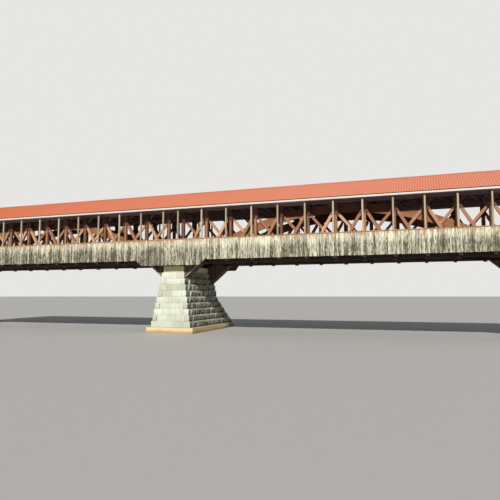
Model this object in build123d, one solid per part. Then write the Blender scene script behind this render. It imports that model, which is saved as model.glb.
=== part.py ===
"""Two-span covered timber bridge at half its real size, in millimetres.

X runs along the bridge, -Y is the downstream side and +Z is up. The origin is on the pier's base,
at the bridge's middle. The timber trusses have posts with flared heads, steep main braces,
long counterbraces that lap past the posts, and a laminated arch on each truss's inner face.
"""
from build123d import *
import math
import os

# Layout along the bridge
PANEL = 1250.0                # from one truss post to the next
PANELS = 13                   # panels in a span
TURN_POST = 7                 # the post where the main braces change direction
PIER_PANEL = 800.0            # short panel over the pier, between the two spans
PORTAL_OVERHANG = 450.0       # roof and siding beyond the last truss post
ABUTMENT_SEAT = 1125.0        # from the abutment's river face to the last truss post
PORTAL_BOARD = 20.0
RAKE_BOARD = 20.0

# Stonework and concrete
FOOTING_HEIGHT = 260.0
FOOTING_MARGIN_X = 200.0      # footing beyond the lowest course
FOOTING_MARGIN_Y = 125.0
COURSE_HEIGHT = 293.0
COURSES = 9
COURSE_STEP_X = 54.0          # set-out of each course below the one above it
COURSE_STEP_Y = 26.0
PIER_HALF_WIDTH = 615.0       # top course, along the bridge
PIER_HALF_LENGTH = 1740.0     # top course, across the bridge
CAP_HEIGHT = 323.0
CAP_LEDGE = 65.0              # stone left bare round the cap
NOSE_COURSES = 5              # courses that run out into the upstream ice breaker
NOSE_SLOPE = 1.19             # run of the ice breaker's slope for each unit of height
BACKWALL = 200.0              # thickness of the wall behind the chord ends

# Truss timbers, each layer counted outwards from the roadway
ROADWAY_HALF_WIDTH = 1150.0
ARCH_THICKNESS = 150.0
CHORD_LEAF = 80.0
POST_THICKNESS = 140.0
POST_WIDTH = 150.0
POST_HEAD_WIDTH = 250.0
POST_HEAD_HEIGHT = 470.0
POST_HEAD_SHOULDER = 90.0
POST_FOOT_DROP = 50.0         # post foot below the bottom chord
BRACE_THICKNESS = 130.0
BRACE_WIDTH = 130.0
BRACE_FOOT_HEIGHT = 150.0     # brace line above the chord's underside, at the post's centre
BRACE_HEAD_DROP = 247.0       # brace line below the top chord, at the post's centre
COUNTER_THICKNESS = 75.0
COUNTER_WIDTH = 120.0
COUNTER_HEAD_LAP = 290.0      # counterbrace past the post at the top chord
COUNTER_FOOT_LAP = 465.0      # and at the bottom chord
BOTTOM_CHORD_DEPTH = 170.0
TOP_CHORD_DEPTH = 180.0
BOLSTER_DEPTH = 115.0
BOLSTER_HALF_LENGTH = 1050.0
BOLSTER_INSET = 30.0          # bolster's inner face outside the chord's inner face
ARCH_CHORD_GAP = 42.0         # arch's back below the top chord, at its crown
ARCH_FOOT = 2760.0            # underside of the arch at the stone faces
ARCH_DEPTH = 380.0

# Boxing round the arch feet
BOXING_BOARD = 18.0
BOXING_GAP = 2.0
BOXING_FOOT_DROP = 100.0      # boxing below the arch's underside at the stone face
BOXING_RUN = 785.0
BACK_BOXING_DROP = 380.0      # the upstream boxing reaches further down and out
BACK_BOXING_RUN = 1180.0
SOFFIT_LIP = 12.0             # soffit board beyond the side boards
BOARD_SEAM = 0.3              # open seam between the soffit and the side boards

# Floor
FLOOR_BEAM_WIDTH = 90.0
FLOOR_BEAM_DEPTH = 140.0
FLOOR_BEAMS_PER_PANEL = 3
FLOOR_BEAM_OFFSET = 183.0     # first floor beam of a panel from its post
DECK_THICKNESS = 40.0
DECK_GAP = 15.0               # deck edge to the arches
LATERAL_WIDTH = 80.0
LATERAL_CLEARANCE = 5.0       # between the two diagonals of a cross, which pass one over the other
LATERAL_FIRST_POST = 1
LATERAL_LAST_POST = 11

# Siding and the light frame outside the trusses
SIDING_HALF_WIDTH = 2100.0
SIDING_BOARD = 15.0
SIDING_BOTTOM = 3475.0
SIDING_TOP = 4465.0
SIDING_DEEP_HALF = 1570.0     # half length of the deep siding over the pier
SIDING_DEEP_SPLAY = 280.0
BACK_SIDING_DROP = 120.0      # upstream siding below the pier cap's top
BACK_SIDING_REACH = 220.0     # and its deep stretch beyond the downstream one
GIRT_THICKNESS = 35.0
GIRT_DEPTH = 90.0
GIRT_EDGE = 10.0              # lowest girt above the siding's bottom edge
EAVE_POST = 70.0
OUTRIGGER_WIDTH = 90.0
OUTRIGGER_DEPTH = 90.0
CAP_RAIL_THICKNESS = 25.0
CAP_RAIL_LIP = 25.0

# Roof
RIDGE_HEIGHT = 7130.0
EAVE_HEIGHT = 6050.0          # top of the roof above the fascia's face
EAVE_OVERHANG = 75.0          # fascia's face beyond the siding's face
ROOF_LIP = 15.0               # roof beyond the fascia
ROOF_THICKNESS = 45.0         # upright, boards and metal together
RAFTER_DEPTH = 84.0           # upright
RAFTER_WIDTH = 60.0
RAFTERS_PER_PANEL = 2
RIDGE_BOARD = 30.0
FASCIA_THICKNESS = 15.0
FASCIA_DEPTH = 75.0
RAKE_DEPTH = 90.0             # upright
TIE_WIDTH = 110.0
TIE_DEPTH = 150.0
UPPER_LATERAL_WIDTH = 60.0
EAVE_PLATE_DEPTH = 90.0
RIDGE_CAP_HALF_WIDTH = 150.0
RIDGE_CAP_THICKNESS = 10.0

# Portals
PORTAL_HEAD_DROP = 232.0      # gable boards' lower edge below the top chords
PORTAL_CORNER = 260.0         # size of the slanted corners of the opening

# Places along the bridge
FIRST_POST = PIER_PANEL / 2
LAST_POST = FIRST_POST + PANELS * PANEL
BRIDGE_END = LAST_POST + PORTAL_OVERHANG
GABLE_FACE = BRIDGE_END - RAKE_BOARD
FRAME_END = GABLE_FACE - PORTAL_BOARD
ABUTMENT_FACE = LAST_POST - ABUTMENT_SEAT
BACKWALL_FACE = BRIDGE_END - BACKWALL
ARCH_MIDDLE = (PIER_HALF_WIDTH + ABUTMENT_FACE) / 2
POSTS = [FIRST_POST + i * PANEL for i in range(PANELS + 1)]
SIDES = {"front": -1, "back": 1}
ENDS = {"left": -1, "right": 1}

# Places across the bridge
ARCH_OUTER = ROADWAY_HALF_WIDTH + ARCH_THICKNESS
POST_INNER = ARCH_OUTER + CHORD_LEAF
POST_OUTER = POST_INNER + POST_THICKNESS
TRUSS_OUTER = POST_OUTER + CHORD_LEAF
GIRT_INNER = SIDING_HALF_WIDTH - SIDING_BOARD - GIRT_THICKNESS
EAVE_POST_INNER = GIRT_INNER - EAVE_POST
EAVE_HALF_WIDTH = SIDING_HALF_WIDTH + EAVE_OVERHANG
FASCIA_INNER = EAVE_HALF_WIDTH - FASCIA_THICKNESS

# Heights
STONE_TOP = FOOTING_HEIGHT + COURSES * COURSE_HEIGHT
CAP_TOP = STONE_TOP + CAP_HEIGHT
CHORD_BOTTOM = CAP_TOP + BOLSTER_DEPTH
CHORD_TOP = CHORD_BOTTOM + BOTTOM_CHORD_DEPTH
DECK_BOTTOM = CHORD_TOP + FLOOR_BEAM_DEPTH
ROOF_FALL = (RIDGE_HEIGHT - EAVE_HEIGHT) / EAVE_HALF_WIDTH
EAVE_EDGE = EAVE_HALF_WIDTH + ROOF_LIP


def roof_top(y):
    """Height of the roof's upper face at a distance from the bridge's middle."""
    return RIDGE_HEIGHT - ROOF_FALL * y


def rafter_top(y):
    """Height of the rafters' upper edge, which carries the roof."""
    return roof_top(y) - ROOF_THICKNESS


def rafter_bottom(y):
    """Height of the rafters' lower edge."""
    return rafter_top(y) - RAFTER_DEPTH


TIE_TOP = rafter_bottom(TRUSS_OUTER)
TIE_BOTTOM = TIE_TOP - TIE_DEPTH
TOP_CHORD_BOTTOM = TIE_BOTTOM - TOP_CHORD_DEPTH
EAVE_PLATE_BOTTOM = rafter_bottom(GIRT_INNER) - EAVE_PLATE_DEPTH
PORTAL_HEAD = TOP_CHORD_BOTTOM - PORTAL_HEAD_DROP
ARCH_CROWN = TOP_CHORD_BOTTOM - ARCH_CHORD_GAP - ARCH_DEPTH
ARCH_RISE = ARCH_CROWN - ARCH_FOOT
ARCH_HALF_SPAN = ARCH_MIDDLE - PIER_HALF_WIDTH
ARCH_RADIUS = (ARCH_HALF_SPAN ** 2 + ARCH_RISE ** 2) / (2 * ARCH_RISE)
ARCH_CENTRE = ARCH_CROWN - ARCH_RADIUS


def block(x0, x1, y0, y1, z0, z1):
    """Upright block between two corners, whichever way round they are given."""
    size = (abs(x1 - x0), abs(y1 - y0), abs(z1 - z0))
    return Pos((x0 + x1) / 2, (y0 + y1) / 2, (z0 + z1) / 2) * Box(*size)


def plate_xz(points, y0, y1):
    """Plate with an outline in X and Z, between two distances across the bridge."""
    low = min(y0, y1)
    face = make_face(Polyline(*[(x, low, z) for x, z in points], close=True))
    return extrude(face, amount=abs(y1 - y0), dir=(0, 1, 0))


def plate_yz(points, x0, x1):
    """Plate with an outline in Y and Z, between two distances along the bridge."""
    low = min(x0, x1)
    face = make_face(Polyline(*[(low, y, z) for y, z in points], close=True))
    return extrude(face, amount=abs(x1 - x0), dir=(1, 0, 0))


def plate_xy(points, z0, z1):
    """Plate with an outline in X and Y, between two heights."""
    face = make_face(Polyline(*[(x, y, z0) for x, y in points], close=True))
    return extrude(face, amount=z1 - z0, dir=(0, 0, 1))


def save(name, solids):
    """Write the solids of one node."""
    shape = Compound(children=list(solids)) if len(solids) > 1 else solids[0]
    export_step(shape, f"parts/{name}.step")


def across(side, *distances):
    """Distances from the bridge's middle, on its front or back side."""
    return [side * distance for distance in distances]


def both_spans(points):
    """An outline of the right span and its mirror image in the left span."""
    return [points, [(-x, z) for x, z in points]]


def course_half_sizes(level):
    """Half width and half length of a stone course, counted from the bottom."""
    steps = COURSES - 1 - level
    return PIER_HALF_WIDTH + steps * COURSE_STEP_X, PIER_HALF_LENGTH + steps * COURSE_STEP_Y


def nose_reach(z):
    """How far upstream the ice breaker's sloping face reaches at a height."""
    nose_top = FOOTING_HEIGHT + NOSE_COURSES * COURSE_HEIGHT
    return course_half_sizes(NOSE_COURSES)[1] + (nose_top - z) * NOSE_SLOPE


def pier():
    """Footing, stepped courses with the upstream ice breaker, and the concrete cap."""
    half_width, half_length = course_half_sizes(0)
    footing_x = half_width + FOOTING_MARGIN_X
    footing_y = half_length + FOOTING_MARGIN_Y
    save("pier_footing", [block(-footing_x, footing_x, -footing_y, footing_y, 0, FOOTING_HEIGHT)])
    toe = [(footing_y, 0), (nose_reach(0), 0), (nose_reach(FOOTING_HEIGHT), FOOTING_HEIGHT),
           (footing_y, FOOTING_HEIGHT)]
    stone = plate_yz(toe, -half_width, half_width)
    for level in range(COURSES):
        half_width, half_length = course_half_sizes(level)
        z0 = FOOTING_HEIGHT + level * COURSE_HEIGHT
        z1 = z0 + COURSE_HEIGHT
        far = [nose_reach(z0), nose_reach(z1)] if level < NOSE_COURSES else [half_length] * 2
        outline = [(-half_length, z0), (far[0], z0), (far[1], z1), (-half_length, z1)]
        stone += plate_yz(outline, -half_width, half_width)
    save("pier_stonework", [stone])
    cap_x = PIER_HALF_WIDTH - CAP_LEDGE
    cap_y = PIER_HALF_LENGTH - CAP_LEDGE
    save("pier_cap", [block(-cap_x, cap_x, -cap_y, cap_y, STONE_TOP, CAP_TOP)])


def abutments():
    """Stepped stone abutments and their concrete seats with a backwall."""
    caps = []
    for name, end in ENDS.items():
        half_length = course_half_sizes(0)[1] + FOOTING_MARGIN_Y
        face = ABUTMENT_FACE - (COURSES - 1) * COURSE_STEP_X - FOOTING_MARGIN_X
        stone = block(end * face, end * BRIDGE_END, -half_length, half_length, 0, FOOTING_HEIGHT)
        for level in range(COURSES):
            half_length = course_half_sizes(level)[1]
            face = ABUTMENT_FACE - (COURSES - 1 - level) * COURSE_STEP_X
            z0 = FOOTING_HEIGHT + level * COURSE_HEIGHT
            stone += block(end * face, end * BRIDGE_END, -half_length, half_length,
                           z0, z0 + COURSE_HEIGHT)
        save(f"{name}_abutment", [stone])
        cap_y = PIER_HALF_LENGTH - CAP_LEDGE
        seat = block(end * (ABUTMENT_FACE + CAP_LEDGE), end * BRIDGE_END, -cap_y, cap_y,
                     STONE_TOP, CAP_TOP)
        wall = block(end * BACKWALL_FACE, end * BRIDGE_END, -cap_y, cap_y, CAP_TOP, DECK_BOTTOM)
        caps.append(seat + wall)
    save("abutment_caps", caps)


def bolsters():
    """Bearing timbers between the caps and the bottom chords."""
    timbers = []
    for side in SIDES.values():
        y0, y1 = across(side, ARCH_OUTER + BOLSTER_INSET, TRUSS_OUTER)
        timbers.append(block(-BOLSTER_HALF_LENGTH, BOLSTER_HALF_LENGTH, y0, y1,
                             CAP_TOP, CHORD_BOTTOM))
        for end in ENDS.values():
            timbers.append(block(end * (ABUTMENT_FACE - CAP_LEDGE / 2),
                                 end * (BACKWALL_FACE - CAP_LEDGE), y0, y1,
                                 CAP_TOP, CHORD_BOTTOM))
    save("bolster_beams", timbers)


def chords(name, side):
    """Two leaves of the bottom chord and of the top chord, with the posts between them."""
    leaves = [across(side, ARCH_OUTER, POST_INNER), across(side, POST_OUTER, TRUSS_OUTER)]
    end = BACKWALL_FACE - CAP_LEDGE
    save(f"{name}_bottom_chord",
         [block(-end, end, y0, y1, CHORD_BOTTOM, CHORD_TOP) for y0, y1 in leaves])
    save(f"{name}_top_chord",
         [block(-FRAME_END, FRAME_END, y0, y1, TOP_CHORD_BOTTOM, TIE_BOTTOM)
          for y0, y1 in leaves])


def post_outline(x, seated):
    """Post with a flared head; its foot hangs below the chord unless the post is seated."""
    foot = CHORD_BOTTOM if seated else CHORD_BOTTOM - POST_FOOT_DROP
    half, head = POST_WIDTH / 2, POST_HEAD_WIDTH / 2
    neck = TOP_CHORD_BOTTOM - POST_HEAD_HEIGHT
    right = [(half, foot), (half, neck - POST_HEAD_SHOULDER), (head, neck),
             (head, TOP_CHORD_BOTTOM), (half, TOP_CHORD_BOTTOM), (half, TIE_BOTTOM)]
    left = [(-dx, z) for dx, z in reversed(right)]
    return [(x + dx, z) for dx, z in right + left]


def truss_posts(name, side):
    """Posts of both spans."""
    y0, y1 = across(side, POST_INNER, POST_OUTER)
    posts = []
    for number, x in enumerate(POSTS):
        for outline in both_spans(post_outline(x, number in (0, PANELS))):
            posts.append(plate_xz(outline, y0, y1))
    save(f"{name}_truss_posts", posts)


def bar_between_uprights(x0, z0, x1, z1, width, cut0, cut1):
    """Outline of a sloping bar on a line through two points, cut upright at two places."""
    slope = (z1 - z0) / (x1 - x0)
    half = width / 2 * math.sqrt(1 + slope ** 2)
    line = [(cut, z0 + slope * (cut - x0)) for cut in (cut0, cut1)]
    return [(line[0][0], line[0][1] - half), (line[1][0], line[1][1] - half),
            (line[1][0], line[1][1] + half), (line[0][0], line[0][1] + half)]


def main_braces(name, side):
    """Steep braces from a post's foot to the next post's head, rising towards the middle."""
    middle = (POST_INNER + POST_OUTER) / 2
    y0, y1 = across(side, middle - BRACE_THICKNESS / 2, middle + BRACE_THICKNESS / 2)
    foot_z = CHORD_BOTTOM + BRACE_FOOT_HEIGHT
    head_z = TOP_CHORD_BOTTOM - BRACE_HEAD_DROP
    braces = []
    for i in range(PANELS):
        foot, head, way = (i, i + 1, 1) if i < TURN_POST else (i + 1, i, -1)
        outline = bar_between_uprights(POSTS[foot], foot_z, POSTS[head], head_z, BRACE_WIDTH,
                                       POSTS[foot] + way * POST_WIDTH / 2,
                                       POSTS[head] - way * POST_HEAD_WIDTH / 2)
        for points in both_spans(outline):
            braces.append(plate_xz(points, y0, y1))
    save(f"{name}_main_braces", braces)


def counterbraces(name, side):
    """Long shallow braces inside the posts; the two that meet at the turn are butted there."""
    y0, y1 = across(side, POST_INNER - COUNTER_THICKNESS, POST_INNER)
    turn = POSTS[TURN_POST]
    room = block(turn - PANELS * PANEL, turn, y0, y1, CHORD_TOP, TOP_CHORD_BOTTOM)
    far_room = block(turn, turn + PANELS * PANEL, y0, y1, CHORD_TOP, TOP_CHORD_BOTTOM)
    bars = []
    for i in range(PANELS):
        if i < TURN_POST:
            head, foot = POSTS[i] - COUNTER_HEAD_LAP, POSTS[i + 1] + COUNTER_FOOT_LAP
        else:
            head, foot = POSTS[i + 1] + COUNTER_HEAD_LAP, POSTS[i] - COUNTER_FOOT_LAP
        slope = (TOP_CHORD_BOTTOM - CHORD_TOP) / (head - foot)
        half = COUNTER_WIDTH / 2 * math.sqrt(1 + 1 / slope ** 2)
        outline = [(foot - half, CHORD_TOP), (foot + half, CHORD_TOP),
                   (head + half, TOP_CHORD_BOTTOM), (head - half, TOP_CHORD_BOTTOM)]
        bar = plate_xz(outline, y0, y1)
        if i in (TURN_POST - 1, TURN_POST):
            bar = (bar & (room if i < TURN_POST else far_room)).solids()[0]
        bars += [bar, bar.mirror(Plane.YZ)]
    save(f"{name}_counterbraces", bars)


def arch_height(x, radius):
    """Height of one of the arch's edges at a place along the right span."""
    return ARCH_CENTRE + math.sqrt(radius ** 2 - (x - ARCH_MIDDLE) ** 2)


def arch(end_name, end, side_name, side):
    """Laminated arch from the pier's face to the abutment's face."""
    outer_radius = ARCH_RADIUS + ARCH_DEPTH
    y = side * ROADWAY_HALF_WIDTH if side > 0 else side * ARCH_OUTER
    x0, x1 = PIER_HALF_WIDTH, ABUTMENT_FACE

    def point(x, radius):
        """Point of an edge of the arch, in its own span."""
        return (end * x, y, arch_height(x, radius))

    lower = ThreePointArc(point(x0, ARCH_RADIUS), point(ARCH_MIDDLE, ARCH_RADIUS),
                          point(x1, ARCH_RADIUS))
    upper = ThreePointArc(point(x0, outer_radius), point(ARCH_MIDDLE, outer_radius),
                          point(x1, outer_radius))
    ends = [Line(point(x, ARCH_RADIUS), point(x, outer_radius)) for x in (x0, x1)]
    face = make_face([lower, ends[1], upper, ends[0]])
    save(f"{end_name}_{side_name}_arch", [extrude(face, amount=ARCH_THICKNESS, dir=(0, 1, 0))])


def stone_half_width(z):
    """Half width of the pier's stones at a height."""
    level = int((z - FOOTING_HEIGHT) // COURSE_HEIGHT)
    return course_half_sizes(min(max(level, 0), COURSES - 1))[0]


def arch_foot_boxing():
    """Boarded troughs round the trusses' arch feet, below the bottom chords."""
    inner = ROADWAY_HALF_WIDTH - BOXING_GAP
    outer = TRUSS_OUTER + BOXING_GAP
    lips = (inner - BOXING_BOARD - SOFFIT_LIP, outer + BOXING_BOARD + SOFFIT_LIP)
    boards = []
    for name, side in SIDES.items():
        low = ARCH_FOOT - (BOXING_FOOT_DROP if name == "front" else BACK_BOXING_DROP)
        start = stone_half_width(low - BOXING_BOARD) + BOXING_GAP
        stop = PIER_HALF_WIDTH + (BOXING_RUN if name == "front" else BACK_BOXING_RUN)
        cheek = [(start, low), (stop, CHORD_BOTTOM), (start, CHORD_BOTTOM)]
        soffit_top, soffit_head = low - BOARD_SEAM, CHORD_BOTTOM - BOARD_SEAM
        soffit = [(start, soffit_top - BOXING_BOARD), (stop + BOXING_BOARD, soffit_head),
                  (stop, soffit_head), (start, soffit_top)]
        for points, near, away in ((cheek, inner - BOXING_BOARD, inner),
                                   (cheek, outer, outer + BOXING_BOARD), (soffit, *lips)):
            at_abutment = [(2 * ARCH_MIDDLE - x, z) for x, z in points]
            for end in ENDS.values():
                for spots in (points, at_abutment):
                    boards.append(plate_xz([(end * x, z) for x, z in spots],
                                           *across(side, near, away)))
    save("arch_foot_boxing", boards)


def floor_beam_places():
    """Floor beams of the right span, clear of the counterbraces' feet."""
    pitch = PANEL / FLOOR_BEAMS_PER_PANEL
    places = []
    for k in range(FLOOR_BEAMS_PER_PANEL * TURN_POST):
        places.append(FIRST_POST + FLOOR_BEAM_OFFSET + k * pitch)
    for k in range(FLOOR_BEAMS_PER_PANEL * (PANELS - TURN_POST)):
        places.append(LAST_POST - FLOOR_BEAM_OFFSET - k * pitch)
    places.append(FIRST_POST + FLOOR_BEAM_OFFSET - pitch)
    return places


def arch_in_the_way(x):
    """Whether the arch passes through the floor beams' depth at a place."""
    near = FLOOR_BEAM_WIDTH / 2
    lowest = min(arch_height(x - near, ARCH_RADIUS), arch_height(x + near, ARCH_RADIUS))
    highest = max(arch_height(x - near, ARCH_RADIUS + ARCH_DEPTH),
                  arch_height(x + near, ARCH_RADIUS + ARCH_DEPTH))
    return lowest < DECK_BOTTOM and highest > CHORD_TOP


def floor():
    """Floor beams on the chords, the roadway deck and the lower lateral bracing."""
    beams = []
    for x in floor_beam_places():
        inside = PIER_HALF_WIDTH < x - FLOOR_BEAM_WIDTH and x + FLOOR_BEAM_WIDTH < ABUTMENT_FACE
        trimmed = inside and arch_in_the_way(x)
        reach = ROADWAY_HALF_WIDTH if trimmed else POST_INNER
        for end in ENDS.values():
            beams.append(block(end * x - FLOOR_BEAM_WIDTH / 2, end * x + FLOOR_BEAM_WIDTH / 2,
                               -reach, reach, CHORD_TOP, DECK_BOTTOM))
    save("floor_beams", beams)
    deck_y = ROADWAY_HALF_WIDTH - DECK_GAP
    save("roadway_deck", [block(-GABLE_FACE, GABLE_FACE, -deck_y, deck_y,
                                DECK_BOTTOM, DECK_BOTTOM + DECK_THICKNESS)])
    bars = []
    for i in range(LATERAL_FIRST_POST, LATERAL_LAST_POST, 2):
        for end in ENDS.values():
            bars += crossed_bars(end * POSTS[i], end * POSTS[i + 2], ARCH_OUTER,
                                 LATERAL_WIDTH, CHORD_BOTTOM, CHORD_TOP)
    save("lower_lateral_bracing", bars)


def crossed_bars(x0, x1, reach, width, z0, z1):
    """Two diagonals of a rectangle between two uprights, one passing over the other."""
    low, high = min(x0, x1), max(x0, x1)
    run, rise = high - low, 2 * reach
    half = width / 2 * math.hypot(run, rise)
    dx, dy = half / rise, half / run
    depth = (z1 - z0 - LATERAL_CLEARANCE) / 2
    bars = []
    for way, base in ((1, z0), (-1, z1 - depth)):
        outline = [(low, -way * reach), (low + dx, -way * reach), (high, way * (reach - dy)),
                   (high, way * reach), (high - dx, way * reach), (low, way * (dy - reach))]
        bars.append(plate_xy(outline, base, base + depth))
    return bars


def siding(name, side):
    """Vertical boarding with a deep stretch over the pier, its girts and its outriggers."""
    deep_half = SIDING_DEEP_HALF + (BACK_SIDING_REACH if name == "back" else 0)
    deep_foot = CAP_TOP - (BACK_SIDING_DROP if name == "back" else 0)
    right = [(deep_half, deep_foot), (deep_half + SIDING_DEEP_SPLAY, SIDING_BOTTOM),
             (GABLE_FACE, SIDING_BOTTOM), (GABLE_FACE, SIDING_TOP)]
    outline = right + [(-x, z) for x, z in reversed(right)]
    inner = SIDING_HALF_WIDTH - SIDING_BOARD
    save(f"{name}_siding", [plate_xz(outline, *across(side, inner, SIDING_HALF_WIDTH))])
    y0, y1 = across(side, GIRT_INNER, inner)
    low = SIDING_BOTTOM + GIRT_EDGE
    high = SIDING_TOP - GIRT_DEPTH
    parts = [block(-FRAME_END, FRAME_END, y0, y1, z, z + GIRT_DEPTH)
             for z in (low, (low + high) / 2, high)]
    deep = CAP_TOP + GIRT_EDGE
    parts.append(block(-SIDING_DEEP_HALF, SIDING_DEEP_HALF, y0, y1, deep, deep + GIRT_DEPTH))
    y0, y1 = across(side, TRUSS_OUTER, GIRT_INNER)
    z1 = SIDING_BOTTOM
    for x in POSTS:
        near = x + EAVE_POST / 2
        if near + OUTRIGGER_WIDTH > BACKWALL_FACE - CAP_LEDGE:
            near = x - EAVE_POST / 2 - OUTRIGGER_WIDTH
        for end in ENDS.values():
            parts.append(block(end * near, end * (near + OUTRIGGER_WIDTH), y0, y1,
                               z1 - OUTRIGGER_DEPTH, z1))
    save(f"{name}_siding_frame", parts)


def cap_rails():
    """Plank on top of the siding, both sides."""
    rails = []
    for side in SIDES.values():
        y0, y1 = across(side, GIRT_INNER, SIDING_HALF_WIDTH + CAP_RAIL_LIP)
        rails.append(block(-FRAME_END, FRAME_END, y0, y1,
                           SIDING_TOP, SIDING_TOP + CAP_RAIL_THICKNESS))
    save("siding_cap_rails", rails)


def eave_posts(name, side):
    """Slender posts behind the siding that carry the eave plate."""
    y0, y1 = across(side, EAVE_POST_INNER, GIRT_INNER)
    posts = []
    for number, x in enumerate(POSTS + [FRAME_END - EAVE_POST / 2]):
        foot = CAP_TOP + GIRT_EDGE if number == 0 else SIDING_BOTTOM - OUTRIGGER_DEPTH
        for end in ENDS.values():
            posts.append(block(end * x - EAVE_POST / 2, end * x + EAVE_POST / 2, y0, y1,
                               foot, EAVE_PLATE_BOTTOM))
    save(f"{name}_eave_posts", posts)


def eave_plates():
    """Timbers on the eave posts that carry the rafters' feet."""
    plates = []
    for side in SIDES.values():
        y0, y1 = across(side, EAVE_POST_INNER, GIRT_INNER)
        plates.append(block(-FRAME_END, FRAME_END, y0, y1,
                            EAVE_PLATE_BOTTOM, rafter_bottom(GIRT_INNER)))
    save("eave_plates", plates)


def ties():
    """Tie beams on the top chords, and crossed laterals between them."""
    half = TIE_WIDTH / 2
    places = POSTS + [FRAME_END - half]
    beams = []
    for x in places:
        for end in ENDS.values():
            beams.append(block(end * x - half, end * x + half, -TRUSS_OUTER, TRUSS_OUTER,
                               TIE_BOTTOM, TIE_TOP))
    save("tie_beams", beams)
    bays = [(half - POSTS[0], POSTS[0] - half)]
    for x0, x1 in zip(POSTS, POSTS[1:]):
        bays += [(end * (x0 + half), end * (x1 - half)) for end in ENDS.values()]
    bars = []
    for x0, x1 in bays:
        bars += crossed_bars(x0, x1, TRUSS_OUTER, UPPER_LATERAL_WIDTH, TIE_BOTTOM, TIE_TOP)
    save("upper_lateral_bracing", bars)


def rafters():
    """Pairs of rafters against a ridge board."""
    half = RAFTER_WIDTH / 2
    last = FRAME_END - half
    count = 2 * round(last / (PANEL / RAFTERS_PER_PANEL)) + 1
    y0, y1 = RIDGE_BOARD / 2, FASCIA_INNER
    outline = [(y0, rafter_bottom(y0)), (y1, rafter_bottom(y1)), (y1, rafter_top(y1)),
               (y0, rafter_top(y0))]
    timbers = []
    for k in range(count):
        x = -last + 2 * last * k / (count - 1)
        for side in SIDES.values():
            timbers.append(plate_yz([(side * y, z) for y, z in outline], x - half, x + half))
    timbers.append(block(-FRAME_END, FRAME_END, -y0, y0, rafter_bottom(y0), rafter_top(y0)))
    save("rafters", timbers)


def sloping_strip(y0, y1, drop0, drop1):
    """Outline of a strip that follows the roof, between two depths below its upper face."""
    return [(y0, roof_top(y0) - drop1), (y1, roof_top(y1) - drop1),
            (y1, roof_top(y1) - drop0), (y0, roof_top(y0) - drop0)]


def roof(name, side):
    """One slope of the roof and the fascia under its edge."""
    slope = [(side * y, z) for y, z in sloping_strip(0, EAVE_EDGE, 0, ROOF_THICKNESS)]
    save(f"{name}_roof", [plate_yz(slope, -BRIDGE_END, BRIDGE_END)])
    top = rafter_top(EAVE_HALF_WIDTH)
    save(f"{name}_fascia", [block(-GABLE_FACE, GABLE_FACE,
                                  *across(side, FASCIA_INNER, EAVE_HALF_WIDTH),
                                  top - FASCIA_DEPTH, top)])


def ridge_cap():
    """Folded cap over the ridge."""
    half, thick = RIDGE_CAP_HALF_WIDTH, RIDGE_CAP_THICKNESS
    outline = [(0, roof_top(0)), (half, roof_top(half)), (half, roof_top(half) + thick),
               (0, roof_top(0) + thick), (-half, roof_top(half) + thick), (-half, roof_top(half))]
    save("ridge_cap", [plate_yz(outline, -BRIDGE_END, BRIDGE_END)])


def portals():
    """Boarded jambs and gables at both ends, and rake boards under the roof's ends."""
    rakes = []
    corner = PORTAL_HEAD - PORTAL_CORNER
    inner = SIDING_HALF_WIDTH - SIDING_BOARD
    for name, end in ENDS.items():
        x0, x1 = end * FRAME_END, end * GABLE_FACE
        jambs = []
        for side in SIDES.values():
            outline = [(ROADWAY_HALF_WIDTH, DECK_BOTTOM), (inner, DECK_BOTTOM),
                       (inner, PORTAL_HEAD), (ROADWAY_HALF_WIDTH - PORTAL_CORNER, PORTAL_HEAD),
                       (ROADWAY_HALF_WIDTH, corner)]
            jambs.append(plate_yz([(side * y, z) for y, z in outline], x0, x1))
        save(f"{name}_portal_jambs", jambs)
        right = [(FASCIA_INNER, PORTAL_HEAD), (FASCIA_INNER, rafter_top(FASCIA_INNER))]
        gable = right + [(0, rafter_top(0))] + [(-y, z) for y, z in reversed(right)]
        save(f"{name}_gable", [plate_yz(gable, x0, x1)])
        x0, x1 = end * GABLE_FACE, end * BRIDGE_END
        boards = None
        strip = sloping_strip(0, EAVE_HALF_WIDTH, ROOF_THICKNESS, ROOF_THICKNESS + RAKE_DEPTH)
        for side in SIDES.values():
            board = plate_yz([(side * y, z) for y, z in strip], x0, x1)
            boards = board if boards is None else boards + board
        rakes.append(boards)
    save("rake_boards", rakes)


def main():
    """Build every node."""
    os.makedirs("parts", exist_ok=True)
    pier()
    abutments()
    bolsters()
    arch_foot_boxing()
    floor()
    cap_rails()
    eave_plates()
    ties()
    rafters()
    ridge_cap()
    portals()
    for name, side in SIDES.items():
        chords(name, side)
        truss_posts(name, side)
        main_braces(name, side)
        counterbraces(name, side)
        siding(name, side)
        eave_posts(name, side)
        roof(name, side)
        for end_name, end in ENDS.items():
            arch(end_name, end, name, side)


main()
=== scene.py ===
"""Looks of the two-span covered timber bridge, a model at half its real size, in metres.

X runs along the bridge, -Y is the downstream side that the camera sees, and +Z is up. Each
sub-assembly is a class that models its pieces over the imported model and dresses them.
"""
import logging
import math
import random
from contextlib import contextmanager
from dataclasses import dataclass
from enum import Enum
from typing import Callable, Iterator, Optional, Sequence, Union

import bmesh
import bpy
import numpy
from mathutils import Matrix, Vector


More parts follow.
